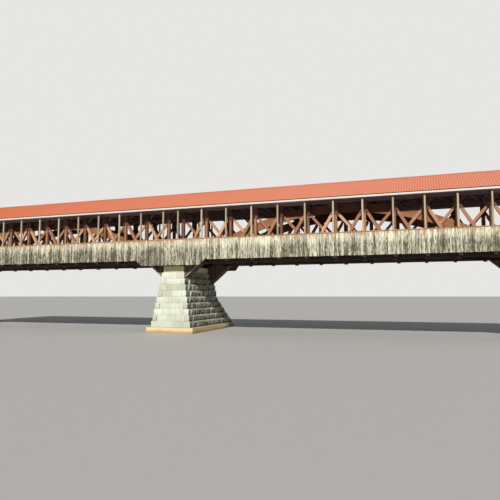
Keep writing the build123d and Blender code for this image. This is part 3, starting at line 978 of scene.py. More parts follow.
@dataclass(frozen=True)
class Iron(Finish):
    """Rusted iron of bolts and washers.

    Attributes:
        dark: colour of sound iron.
        rust: colour of its rust.
    """

    dark: str = "2c2622"
    rust: str = "6b3d24"

    def surface(self, kit: NodeKit) -> Surface:
        """See Finish.surface."""
        _, runs, specks = WEATHER.put(kit, kit.place())
        share = kit.total(-0.3, (runs, 0.6), (specks, 0.9))
        return kit.coats(self.dark, (share, self.rust)), specks


def fit(piece: Piece, slot: str, finish: Finish, *nodes: str) -> None:
    """Dress a new piece, let it ride with the bridge, and hide the nodes it replaces.

    Args:
        piece: the piece.
        slot: not used.
        finish: the finish.
        nodes: the nodes it replaces.
    """
    piece.data.materials.clear()
    piece.data.materials.append(finish.material())
    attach(piece, "root")
    if nodes:
        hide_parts(*nodes)
    log.info("%s: %d faces", piece.name, len(piece.data.polygons))


def dress(finish: Finish, *nodes: str) -> None:
    """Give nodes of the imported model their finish.

    Args:
        finish: the finish.
        nodes: the nodes.
    """
    for node in nodes:
        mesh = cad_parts[node].data
        mesh.materials.clear()
        mesh.materials.append(finish.material())
        log.info("%s: %s", node, finish.name)


@dataclass
class Roof:
    """Ribbed metal sheets on spaced boards, on both slopes.

    Attributes:
        rise: height of the roof's build-up, measured upright.
        sheets: sheets in the length of a slope.
        ribs: ribs of a sheet.
        cap_lengths: lengths of the ridge cap.
        cap_lap: how far one lies over the next.
        rib_base: width of a rib's foot.
        rib_crest: width of its top.
        rib_height: its height.
        metal: thickness of the sheets.
        board: width of the boards.
        gap: between two boards.
        board_length: about how long a board is.
        uneven: how far a board's length strays and how much shorter a sheet may be, as shares.
        inset: how far the boards end behind the gables.
        first_board: how far down the slope the first board lies.
        butt: joint between two boards end to end.
        clear: hair's breadth between two surfaces.
        edge: width of the boards' worn edges.
    """

    rise: float = 0.045
    sheets: int = 80
    ribs: int = 4
    cap_lengths: int = 22
    cap_lap: float = 0.04
    rib_base: float = 0.034
    rib_crest: float = 0.014
    rib_height: float = 0.009
    metal: float = 0.003
    board: float = 0.105
    gap: float = 0.008
    board_length: float = 3.1
    uneven: tuple[float, float] = (0.25, 0.0025)
    inset: float = 0.025
    first_board: float = 0.015
    butt: float = 0.003
    clear: float = 0.0005
    edge: float = 0.0015

    def __post_init__(self) -> None:
        """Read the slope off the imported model, and work out the sheets' width and their ribs' pitch."""
        low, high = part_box("front_roof")
        self.end, self.ridge, self.eave = high.x, high.z, -low.y
        self.fall = (high.z - low.z - self.rise) / self.eave
        self.angle = math.atan(self.fall)
        self.length = self.eave / math.cos(self.angle)
        self.width = 2 * self.end / self.sheets
        self.pitch = self.width / self.ribs

    def slope_place(self, side: int, x: float, down: float = 0.0, out: float = 0.0,
                    stretch: float = 1.0) -> Matrix:
        """Place of a piece on a slope, whose own X runs along the bridge and Y down the slope.

        Args:
            side: -1 for the front slope, 1 for the back one.
            x: its place along the bridge.
            down: how far down from the ridge.
            out: how far above the slope's surface.
            stretch: its length as a share of the modelled piece's.

        Returns:
            The matrix.
        """
        cosine, sine = math.cos(self.angle), math.sin(self.angle)
        y_way, z_way = Vector((0, side * cosine, -sine)), Vector((0, side * sine, cosine))
        spot = Vector((x, 0, self.ridge)) + down * y_way + out * z_way
        return placed((side * stretch, 0, 0), y_way, z_way, spot)

    def sheet(self) -> Piece:
        """Model one ribbed sheet, with its left edge and its top end at the origin.

        Returns:
            The sheet.
        """
        sheet = add_block("sheet", (self.clear, 0, -self.rib_height - self.metal),
                          (self.width - self.clear, self.length, -self.rib_height))
        middles = [(rib + 0.5) * self.pitch for rib in range(self.ribs)]
        places = []
        for middle in middles:
            for half in (self.rib_base / 2, self.rib_crest / 2):
                places += [middle - half, middle + half]
        score(sheet, 0, sorted(places))
        reach = self.rib_crest / 2 + 2 * self.clear
        with editing(sheet):
            pick(sheet, "VERT", lambda v: any(abs(v.co.x - middle) < reach for middle in middles))
            bpy.ops.transform.translate(value=(0, 0, self.rib_height))
        return sheet

    def covering(self, name: str, side: int) -> Piece:
        """Lay the sheets of one slope, their lower ends a little uneven.

        Args:
            name: front or back.
            side: -1 or 1.

        Returns:
            The covering.
        """
        dice = random.Random(f"sheets {name}")
        master = self.sheet()
        copies = []
        for number in range(self.sheets):
            place = self.slope_place(side, -self.end + (number + (side < 0)) * self.width)
            trim = 1 - dice.uniform(0, self.uneven[1])
            copies.append(Copy(master, place @ Matrix.Diagonal((1, trim, 1, 1)), dice.random()))
        return join_copies(f"{name}_roof_sheets", copies)

    def boarding(self, name: str, side: int) -> Piece:
        """Lay the boards under the sheets of one slope.

        Args:
            name: front or back.
            side: -1 or 1.

        Returns:
            The boards.
        """
        dice = random.Random(f"roof boards {name}")
        top, bottom = -self.rib_height - self.metal, -self.rise * math.cos(self.angle)
        master = add_block("board", (-0.5, 0, bottom), (0.5, self.board, top))
        finish_with(master, "BEVEL", width=self.edge, segments=1)
        copies = []
        rows = int(self.length / (self.board + self.gap))
        for row in range(rows):
            x = -self.end + self.inset
            down = self.first_board + row * (self.board + self.gap)
            for part in shares(2 * (self.end - self.inset), self.board_length, self.uneven[0], dice):
                place = self.slope_place(side, x + part / 2, down, -self.clear, part - self.butt)
                copies.append(Copy(master, place, dice.random()))
                x += part
        return join_copies(f"{name}_roof_boards", copies)

    def cap(self) -> Piece:
        """Lay the folded cap over the ridge, in lapped lengths.

        Returns:
            The cap.
        """
        dice = random.Random("ridge cap")
        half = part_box("ridge_cap")[1].y
        length = 2 * self.end / self.cap_lengths
        master = add_block("cap", (0, -half, 0), (1, half, self.metal))
        score(master, 1, (-self.rib_base / 2, self.rib_base / 2))
        with editing(master):
            pick(master, "VERT", lambda v: abs(v.co.y) < self.rib_base)
            bpy.ops.transform.translate(value=(0, 0, (half - self.rib_base / 2) * self.fall))
        copies = []
        for number in range(self.cap_lengths):
            x = -self.end + number * length
            reach = length + (self.cap_lap if number < self.cap_lengths - 1 else 0)
            base = self.ridge - half * self.fall + self.clear + self.metal * (number % 2)
            place = placed((reach, 0, 0), (0, 1, 0), (0, 0, 1), (x, 0, base))
            copies.append(Copy(master, place, dice.random()))
        return join_copies("ridge_cap_lengths", copies)

    def build(self) -> None:
        """Model and dress both slopes."""
        metal = RibbedMetal("faded_roof_metal", rough=0.55, relief=0.0015, pitch=self.pitch,
                            start=-self.end)
        plain = RibbedMetal("ridge_cap_metal", rough=0.55, relief=0.0015)
        # Painted shade: the boards under the roof are partly their own dark brown, darkened further and
        # tinted mauve for the cool shade there.
        under = Timber("roof_boards", dark="4a3634", light="94726e", way=Way.ALONG, contrast=0.9)
        for name, side in SIDES.items():
            fit(self.covering(name, side), "roof_metal", metal, f"{name}_roof")
            fit(self.boarding(name, side), "truss_timber", under)
        fit(self.cap(), "roof_metal", plain, "ridge_cap")


@dataclass
class Siding:
    """Upright boards of both sides, with a deep stretch over the pier.

    Attributes:
        board: mean width of a board.
        spread: how far widths stray from the mean, as a share.
        thickness: thickness of a board.
        gap: between two boards.
        deep_half: half length of each side's deep stretch at its lowest edge.
        splay: how far its slanted ends run out.
        shallow: lower edge of the other boards.
        ragged: how uneven the ends are.
        warp: how far one board's face lies behind the next one's.
        creases: where a board's cup has its creases, from its middle as shares of its width.
        bends: stretches in which it is divided across, as shares of its length.
        cup: how deep its middle lies, least and most.
        taper: how much narrower it may be at its top, as a share.
    """

    board: float = 0.112
    spread: float = 0.22
    thickness: float = 0.015
    gap: float = 0.003
    deep_half: tuple[float, float] = (1.57, 1.79)
    splay: float = 0.28
    shallow: float = 3.475
    ragged: float = 0.008
    warp: float = 0.002
    creases: tuple[float, float] = (-0.2, 0.25)
    bends: tuple[tuple[float, float], ...] = ((0.2, 0.4), (0.6, 0.8))
    cup: tuple[float, float] = (0.0005, 0.0015)
    taper: float = 0.015

    def master(self, seed: int) -> Piece:
        """Model one board, a metre wide and a metre tall, cupped and a little worn.

        Args:
            seed: which of the variants.

        Returns:
            The board, with its face at y = 0, looking along -Y.
        """
        dice = random.Random(seed)
        board = add_block("board", (-0.5, 0, 0), (0.5, self.thickness, 1))
        score(board, 0, self.creases)
        score(board, 2, [dice.uniform(*bend) for bend in self.bends])
        with editing(board):
            pick(board, "VERT", lambda v: abs(v.co.x) < 0.3 and 0.1 < v.co.z < 0.9)
            bpy.ops.transform.translate(value=(0, dice.uniform(*self.cup), 0))
            pick(board, "VERT", lambda v: v.co.z > 0.5 and v.co.x > 0.3)
            bpy.ops.transform.translate(value=(dice.uniform(-self.taper, 0.0), 0, 0))
        return board

    def boards(self, name: str, side: int) -> Piece:
        """Set the boards of one side.

        Args:
            name: front or back.
            side: -1 or 1.

        Returns:
            The boards in one piece.
        """
        dice = random.Random(f"siding {name}")
        masters = [self.master(seed) for seed in range(3)]
        deep_masters = [self.master(seed) for seed in range(3, 5)]
        low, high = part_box(f"{name}_siding")
        deep_half = self.deep_half[0 if side < 0 else 1]
        reach = deep_half + self.splay
        outer = max(abs(low.y), abs(high.y))
        copies, deep = [], []
        x = low.x
        for width in shares(high.x - low.x, self.board, self.spread, dice):
            middle = x + width / 2
            is_deep = abs(middle) - width / 2 < reach
            foot = low.z if is_deep else self.shallow + dice.uniform(-self.ragged, self.ragged)
            foot += dice.uniform(0, self.ragged) if is_deep else 0.0
            tall = high.z - dice.uniform(0, self.ragged / 2) - foot
            face = outer - dice.uniform(0, self.warp)
            pool = deep_masters if is_deep else masters
            place = placed((width - self.gap, 0, 0), (0, -side, 0), (0, 0, tall),
                           (middle, side * face, foot))
            (deep if is_deep else copies).append(Copy(dice.choice(pool), place, dice.random()))
            x += width
        middle_piece = join_copies("deep_boards", deep)
        for way in (-1, 1):
            slope = Vector((way * (self.shallow - low.z), 0, -self.splay))
            cut_away(middle_piece, (way * deep_half, 0, low.z), slope)
        return join_pieces(f"{name}_siding_boards", [join_copies("side_boards", copies), middle_piece])

    def build(self) -> None:
        """Model and dress both sides."""
        wood = WeatheredBoards("weathered_siding_boards", top=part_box("front_siding")[1].z)
        for name, side in SIDES.items():
            fit(self.boards(name, side), "weathered_siding", wood, f"{name}_siding")


@dataclass
class Masonry:
    """Rock-faced stones on a mortar core: the pier and both abutments.

    Attributes:
        footing: height of the footing.
        course: height of a course.
        courses: how many there are.
        step_x: set-out of each course below the one above, along the bridge.
        step_y: the same across the bridge.
        nose_courses: courses that run out into the ice breaker.
        nose_slope: run of the ice breaker's slope for each unit of height.
        stone: mean length of a stone.
        depth: how deep a stone goes into the wall.
        joint: width of the mortar joints.
        recess: the stones' drafted margins behind the wall's face.
        mortar: the mortar behind the wall's face.
        swell: how far a rock face stands out from its margins, on the faces and on the flanks.
        quoins: the two lengths of a corner stone.
        margins: a stone's two steps, each its width and its share of the swell.
        least: least share of its full height that a step has.
        fractal: how rough the rock faces are.
        uneven: how far a stone's length strays from the mean, as a share.
        stray: how far it lies out of line.
    """

    footing: float = 0.26
    course: float = 0.293
    courses: int = 9
    step_x: float = 0.054
    step_y: float = 0.026
    nose_courses: int = 5
    nose_slope: float = 1.19
    stone: float = 0.56
    depth: float = 0.16
    joint: float = 0.006
    recess: float = 0.006
    mortar: float = 0.014
    swell: tuple[float, float] = (0.020, 0.056)
    quoins: tuple[float, float] = (0.42, 0.25)
    margins: tuple[tuple[float, float], ...] = ((0.012, 0.45), (0.045, 0.55))
    least: float = 0.5
    fractal: float = 0.16
    uneven: float = 0.28
    stray: float = 0.003

    def slope_way(self) -> Vector:
        """The way that the ice breaker's slope looks."""
        return Vector((0, 1, self.nose_slope)).normalized()

    def foot(self, level: int) -> float:
        """Height of a course's foot, where course -1 is as high as the footing."""
        return self.footing + level * self.course if level >= 0 else 0.0

    def tall(self, level: int) -> float:
        """Height of a course."""
        return self.course if level >= 0 else self.footing

    def turned(self, level: int) -> tuple[float, float]:
        """Length of a course's corner stones along the bridge and across it."""
        return self.quoins if level % 2 == 0 else self.quoins[::-1]

    def rough_out(self, piece: Piece, way: Sequence[float], swell: float, seed: int) -> None:
        """Give one side of a stone drafted margins and a rough, swelling rock face.

        Args:
            piece: the stone.
            way: where the side looks.
            swell: how far the rock face stands out.
            seed: which of the variants.
        """
        dice = random.Random(seed)
        with editing(piece):
            pick(piece, "FACE", facing(*way))
            for margin, share in self.margins:
                bpy.ops.mesh.inset(thickness=margin)
                rise = Vector(way) * swell * share * dice.uniform(self.least, 1.0)
                bpy.ops.transform.translate(value=rise)
            bpy.ops.mesh.subdivide(number_cuts=2, fractal=self.fractal, fractal_along_normal=1.0,
                                   seed=seed)

    def plain_stone(self, seed: int, swell: float) -> Piece:
        """Model a stone seen from one side, which looks along -Y.

        Args:
            seed: which of the variants.
            swell: how far its rock face stands out.

        Returns:
            The stone, with the middle of its face's foot at the origin.
        """
        stone = add_block("stone", (-self.stone / 2, 0, 0), (self.stone / 2, self.depth, self.course))
        self.rough_out(stone, (0, -1, 0), swell, seed)
        return stone

    def quoin_stone(self, seed: int) -> Piece:
        """Model a corner stone, whose sides look along -Y and -X.

        Args:
            seed: which of the variants.

        Returns:
            The stone, with the foot of its corner at the origin.
        """
        stone = add_block("quoin", (0, 0, 0), (self.quoins[0], self.quoins[1], self.course))
        self.rough_out(stone, (0, -1, 0), self.swell[0], seed)
        self.rough_out(stone, (-1, 0, 0), self.swell[0], seed + 50)
        return stone

    def row(self, masters: Sequence[Piece], start: Vector, along: Vector, up: Vector,
            length: float, height: float, dice: random.Random) -> list[Copy]:
        """Lay a row of stones on a wall's face.

        Args:
            masters: the modelled stones.
            start: foot of the row's start, on the face.
            along: the way it runs, with the wall behind it on the left.
            up: the way up the face.
            length: its length.
            height: its height up the face.
            dice: the source of chance.

        Returns:
            The stones.
        """
        inward = up.cross(along)
        stones = []
        at = 0.0
        for part in shares(length, self.stone, self.uneven, dice):
            spot = start + along * (at + part / 2) + up * (self.joint / 2)
            spot += inward * (self.recess + dice.uniform(-self.stray, self.stray))
            place = placed(along * (part - self.joint) / self.stone, inward,
                           up * (height - self.joint) / self.course, spot)
            stones.append(Copy(dice.choice(masters), place, dice.random()))
            at += part
        return stones

    def corner(self, masters: Sequence[Piece], spot: Vector, along: Vector,
               inward: Vector, level: int, height: float, dice: random.Random) -> Copy:
        """Lay one corner stone, long one way in even courses and the other way in odd ones.

        Args:
            masters: the modelled stones.
            spot: foot of the corner.
            along: the way along one face, away from the corner.
            inward: the way along the other face.
            level: the course's number.
            height: the course's height.
            dice: the source of chance.

        Returns:
            The stone.
        """
        first, second = self.turned(level)
        place = placed(along * (first - self.joint / 2) / self.quoins[0],
                       inward * (second - self.joint / 2) / self.quoins[1],
                       UP * (height - self.joint) / self.course,
                       spot + (along + inward) * self.recess + UP * self.joint / 2)
        return Copy(dice.choice(masters), place, dice.random())

    def ring(self, stock: Sequence[Sequence[Piece]], low: Sequence[float],
             high: Sequence[float], level: int, dice: random.Random,
             nose: Optional[float] = None) -> tuple[list[Copy], list[Copy]]:
        """Lay one course round a rectangle.

        Args:
            stock: the modelled stones for the faces, the flanks and the corners.
            low: the course's lowest corner.
            high: its highest corner.
            level: its number.
            dice: the source of chance.
            nose: how far upstream the ice breaker's side faces reach, if it has one.

        Returns:
            The stones, and those of the ice breaker's sides, still to be cut to its slope.
        """
        plain, flank, quoin = stock
        height = high[2] - low[2]
        stones, sides = [], []
        first, second = self.turned(level)
        for side in (-1, 1):
            face_y = low[1] if side < 0 else high[1]
            if side < 0 or nose is None:
                for end in (-1, 1):
                    spot = Vector((low[0] if end < 0 else high[0], face_y, low[2]))
                    stones.append(self.corner(quoin, spot, Vector((-end, 0, 0)),
                                              Vector((0, -side, 0)), level, height, dice))
                start = Vector((low[0] + first if side < 0 else high[0] - first, face_y, low[2]))
                stones += self.row(plain, start, Vector((-side, 0, 0)), UP,
                                   high[0] - low[0] - 2 * first, height, dice)
        for end in (-1, 1):
            face_x = low[0] if end < 0 else high[0]
            y0, y1 = low[1] + second, high[1] - second
            if nose is not None:
                y1 = nose
            start = Vector((face_x, y0 if end > 0 else y1, low[2]))
            laid = self.row(flank, start, Vector((0, end, 0)), UP, y1 - y0, height, dice)
            (sides if nose is not None else stones).extend(laid)
        return stones, sides

    def core(self, name: str, node: str, spot: Sequence[float], out: Vector) -> Piece:
        """Model the mortar behind the stones' faces.

        Args:
            name: the core's name.
            node: the node it follows.
            spot: a point of the face whose stones lie deeper in the wall than the others.
            out: the way that this face looks.

        Returns:
            The core.
        """
        core = copy_of_node(name, node)
        with editing(core, "SELECT"):
            bpy.ops.transform.shrink_fatten(value=-self.mortar, use_even_offset=True)
        cut_away(core, Vector(spot) - out * (self.swell[1] + self.mortar), out)
        return core

    def stock(self) -> list[list[Piece]]:
        """Model the variants of the stones for the faces, the flanks and the corners."""
        return [[self.plain_stone(seed, self.swell[0]) for seed in range(1, 6)],
                [self.plain_stone(seed, self.swell[1]) for seed in range(21, 26)],
                [self.quoin_stone(seed) for seed in range(11, 14)]]

    def apart(self, copies: Sequence[Copy]) -> list[Copy]:
        """Give copies masters of their own, so that they can be joined and cut by themselves."""
        masters = [self.plain_stone(seed, self.swell[1]) for seed in range(31, 35)]
        return [Copy(masters[number % len(masters)], copy.place, copy.shade)
                for number, copy in enumerate(copies)]

    def half_sizes(self, level: int, top_x: float, top_y: float) -> tuple[float, float]:
        """Half width and half length of a course of the pier, from those of its top course."""
        steps = self.courses - 1 - level
        return top_x + steps * self.step_x, top_y + steps * self.step_y

    def pier(self) -> Piece:
        """Lay the pier's courses and the slope of its ice breaker.

        Returns:
            The stones in one piece.
        """
        dice = random.Random("pier stones")
        low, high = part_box("pier_stonework")
        steps = self.courses - 1
        top_x, top_y = high.x - steps * self.step_x, -low.y - steps * self.step_y
        stock = self.stock()
        stones, sides = [], []
        for level in range(self.courses):
            half_x, half_y = self.half_sizes(level, top_x, top_y)
            z0 = self.foot(level)
            nose = high.y - self.nose_slope * z0 if level < self.nose_courses else None
            laid, cut = self.ring(stock, (-half_x, -half_y, z0),
                                  (half_x, half_y, z0 + self.course), level, dice, nose)
            stones += laid
            sides += cut
        up = Vector((0, -self.nose_slope, 1)).normalized()
        sunk = self.slope_way() * self.swell[1]
        slopes = []
        for level in range(-1, self.nose_courses):
            half_x = self.half_sizes(max(level, 0), top_x, top_y)[0]
            z0 = self.foot(level)
            height = self.tall(level) * math.hypot(1, self.nose_slope)
            start = Vector((half_x - self.recess, high.y - self.nose_slope * z0, z0)) - sunk
            slopes += self.row(stock[1], start, Vector((-1, 0, 0)), up,
                               2 * (half_x - self.recess), height, dice)
        ramp = join_copies("ice_breaker_slope", self.apart(slopes))
        cut_away(ramp, (0, 0, 0), (0, 0, -1))
        toe_x = self.half_sizes(0, top_x, top_y)[0]
        toe_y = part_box("pier_footing")[1].y
        for end in (-1, 1):
            start = Vector((end * toe_x, toe_y if end > 0 else high.y, 0))
            sides += self.row(stock[1], start, Vector((0, end, 0)), UP, high.y - toe_y, self.footing,
                              dice)
        flanks = join_copies("ice_breaker_sides", self.apart(sides))
        slope = self.slope_way()
        cut_away(flanks, Vector((0, high.y, 0)) - slope * self.depth, slope)
        return join_pieces("pier_stones", [join_copies("pier_courses", stones), flanks, ramp])

    def abutment(self, name: str, end: int) -> Piece:
        """Lay an abutment's courses.

        Args:
            name: left or right.
            end: -1 or 1.

        Returns:
            The stones in one piece.
        """
        dice = random.Random(f"{name} abutment stones")
        low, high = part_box(f"{name}_abutment")
        back = end * (max(abs(low.x), abs(high.x)) - self.recess - self.swell[1])
        foot_y = -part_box("pier_stonework")[0].y
        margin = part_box("pier_footing")[1].y - foot_y
        foot_x = min(abs(low.x), abs(high.x))
        face_0 = foot_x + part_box("pier_footing")[1].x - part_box("pier_stonework")[1].x
        stock = self.stock()
        stones = []
        for level in range(-1, self.courses):
            steps = max(level, 0)
            face = foot_x if level < 0 else face_0 + steps * self.step_x
            half = foot_y + margin if level < 0 else foot_y - steps * self.step_y
            z0 = self.foot(level)
            x0, x1 = sorted((end * face, back))
            laid, _ = self.ring(stock, (x0, -half, z0), (x1, half, z0 + self.tall(level)), level, dice)
            stones += laid
        return join_copies(f"{name}_abutment_stones", stones)

    def build(self) -> None:
        """Model and dress the pier and both abutments."""
        stone = Granite("rock_faced_granite", rough=0.9, relief=0.004, first=self.footing,
                        course=self.course)
        mortar = Cement("mortar", pale="dad6c4", dark="a39c86", relief=0.003)
        fit(self.pier(), "granite", stone)
        toe = (0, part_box("pier_stonework")[1].y, 0)
        core = self.core("pier_mortar", "pier_stonework", toe, self.slope_way())
        fit(core, "granite", mortar, "pier_stonework")
        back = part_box("right_abutment")[1].x
        for name, end in ENDS.items():
            fit(self.abutment(name, end), "granite", stone)
            core = self.core(f"{name}_abutment_mortar", f"{name}_abutment", (end * back, 0, 0),
                             Vector((end, 0, 0)))
            fit(core, "granite", mortar, f"{name}_abutment")


@dataclass
class Concrete:
    """Cast concrete: the pier's footing and cap, and the abutments' seats.

    Attributes:
        edge: width of its worn edges.
        lift: height between two marks of the form boards.
        pour: length between two marks across the faces.
        rough: how far its surface strays, as a share of the faces' size.
        skin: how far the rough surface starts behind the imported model's.
        most_strips: a side so long that it would have this many strips has no marks along it.
        sharp: edges sharper than this many degrees stay crisp.
    """

    edge: float = 0.012
    lift: float = 0.11
    pour: float = 0.35
    rough: float = 0.02
    skin: float = 0.004
    most_strips: int = 20
    sharp: float = 40.0

    def cast(self, name: str, node: str) -> Piece:
        """Model one node again with worn edges and a rough surface.

        Args:
            name: the new piece's name.
            node: the node it follows.

        Returns:
            The piece.
        """
        low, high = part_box(node)
        piece = copy_of_node(name, node)
        finish_with(piece, "BEVEL", width=self.edge, segments=2, limit_method="ANGLE")
        for axis, pitch in enumerate((self.pour, self.pour, self.lift)):
            count = math.ceil((high[axis] - low[axis]) / pitch)
            if count < self.most_strips:
                score(piece, axis, [low[axis] + pitch * k for k in range(1, count)])
        with editing(piece):
            pick(piece, "FACE", lambda face: face.normal.z > -0.5)
            bpy.ops.transform.shrink_fatten(value=-self.skin)
            bpy.ops.mesh.subdivide(number_cuts=2, fractal=self.rough, fractal_along_normal=1.0, seed=7)
        smooth(piece, self.sharp)
        return piece

    def build(self) -> None:
        """Model and dress the three nodes."""
        weathered = Cement("cap_concrete", pale="f0eac0", dark="a69f76")
        footing = Cement("footing_concrete", pale="e6dab2", dark="bca878", line=0.09)
        for name, node, finish in (("cast_pier_cap", "pier_cap", weathered),
                                   ("cast_abutment_seats", "abutment_caps", weathered),
                                   ("cast_footing", "pier_footing", footing)):
            fit(self.cast(name, node), "concrete", finish, node)


@dataclass
class Arches:
    """Four laminated arches, bent from planks with staggered butt joints.

    Attributes:
        layers: planks in the depth of an arch.
        seam: open seam between two planks.
        plank: about how long a plank is.
        steps: straight steps in a plank's bend.
        stagger: how far the joints of one layer lie from the next one's, as a share of a plank.
        stray: least and most that they stray from there, as shares of a plank.
    """

    layers: int = 8
    seam: float = 0.0016
    plank: float = 3.4
    steps: int = 10
    stagger: float = 0.382
    stray: tuple[float, float] = (0.02, 0.1)

    def __post_init__(self) -> None:
        """Read the arches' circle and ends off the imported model."""
        self.low, self.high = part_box("right_front_arch")
        self.middle, self.centre, self.radius = TRUSS.arch_circle()

    def bent_plank(self, layer: int, angle: float) -> Piece:
        """Model one bent plank round the origin, which starts straight above it.

        Args:
            layer: which layer, counted from the inside.
            angle: how far round it reaches, in radians.

        Returns:
            The plank.
        """
        depth = TRUSS.arch_depth / self.layers
        width = self.high.y - self.low.y
        deselect_all()
        bpy.ops.mesh.primitive_plane_add(size=1.0, rotation=(0, math.pi / 2, 0))
        plank = bpy.context.active_object
        plank.scale = (depth - self.seam, width, 1)
        plank.location = (0, (self.low.y + self.high.y) / 2, self.radius + (layer + 0.5) * depth)
        bpy.ops.object.transform_apply()
        with editing(plank, "SELECT"):
            bpy.ops.mesh.spin(steps=self.steps, angle=-angle, center=(0, 0, 0), axis=(0, 1, 0))
            bpy.ops.mesh.select_all(action="SELECT")
            bpy.ops.mesh.remove_doubles(threshold=MERGED)
            bpy.ops.mesh.normals_make_consistent(inside=False)
        return plank

    def arch(self, name: str, end: int, side: int) -> Piece:
        """Lay up one arch.

        Args:
            name: the piece's name.
            end: -1 for the left span, 1 for the right one.
            side: -1 for the front, 1 for the back.

        Returns:
            The arch.
        """
        dice = random.Random(name)
        half = math.asin((self.high.x - self.low.x) / 2 / self.radius)
        angle = self.plank / self.radius
        lay = Matrix.Translation((end * self.middle, 0, self.centre)) @ Matrix.Diagonal((end, -side, 1, 1))
        copies = []
        for layer in range(self.layers):
            master = self.bent_plank(layer, angle - self.seam / self.radius)
            at = -half - angle * (layer * self.stagger + dice.uniform(*self.stray)) % angle
            while at < half:
                copies.append(Copy(master, lay @ Matrix.Rotation(at, 4, "Y"), dice.random()))
                at += angle
        arch = join_copies(name, copies)
        for x, way in ((self.low.x, -1), (self.high.x, 1)):
            cut_away(arch, (end * x, 0, 0), (end * way, 0, 0))
        return arch

    def build(self) -> None:
        """Model and dress the four arches."""
        # Painted shade: the arches are darker above the eave's shadow line and below the deck.
        wood = Timber("arch_planks", dark="754930", light="b07c55", way=Way.ARCH, contrast=0.35,
                      high_shade=5.35, low_shade=3.5, shade_tint="a08f98")
        for end_name, end in ENDS.items():
            for side_name, side in SIDES.items():
                node = f"{end_name}_{side_name}_arch"
                fit(self.arch(f"{node}_planks", end, side), "laminated_arch", wood, node)


@dataclass
class Boards:
    """Boards laid side by side.

    Attributes:
        gap: between two boards.
        edge: width of their worn edges.
        warp: how far one board's face strays from the next one's.
        uneven: how far widths stray from the mean, as a share.
        clear: hair's breadth between two surfaces.
        bends: where a board's long faces are divided, from its middle as shares of its length.
    """

    gap: float = 0.003
    edge: float = 0.0015
    warp: float = 0.001
    uneven: float = 0.15
    clear: float = 0.001
    bends: tuple[float, float] = (-0.1, 0.2)

    def boards(self, name: str, low: Sequence[float], high: Sequence[float], along: int, into: int,
               mean: float, ragged: float = 0.0, lay: Matrix = Matrix()) -> Piece:
        """Fill a box with boards.

        Args:
            name: the piece's name.
            low: the box's lowest corner.
            high: its highest corner.
            along: the axis along which board follows board.
            into: the axis of the boards' thickness.
            mean: mean width of a board.
            ragged: how uneven the boards' ends are.
            lay: how the filled box is turned and placed.

        Returns:
            The boards.
        """
        dice = random.Random(name)
        size, spot = Vector(high) - Vector(low), (Vector(low) + Vector(high)) / 2
        whole, at, ends = size.copy(), low[along], 3 - along - into
        master = add_block("board", (-0.5, -0.5, -0.5), (0.5, 0.5, 0.5))
        score(master, ends, self.bends)
        copies = []
        for width in shares(whole[along], mean, self.uneven, dice):
            size[along], spot[along] = width - self.gap, at + width / 2
            size[into] = whole[into] - dice.uniform(0, 2 * self.warp)
            size[ends] = whole[ends] - dice.uniform(0, ragged)
            place = lay @ Matrix.Translation(spot) @ Matrix.Diagonal((*size, 1))
            copies.append(Copy(master, place, dice.random()))
            at += width
        piece = join_copies(name, copies)
        finish_with(piece, "BEVEL", width=self.edge, segments=1, limit_method="ANGLE")
        return piece


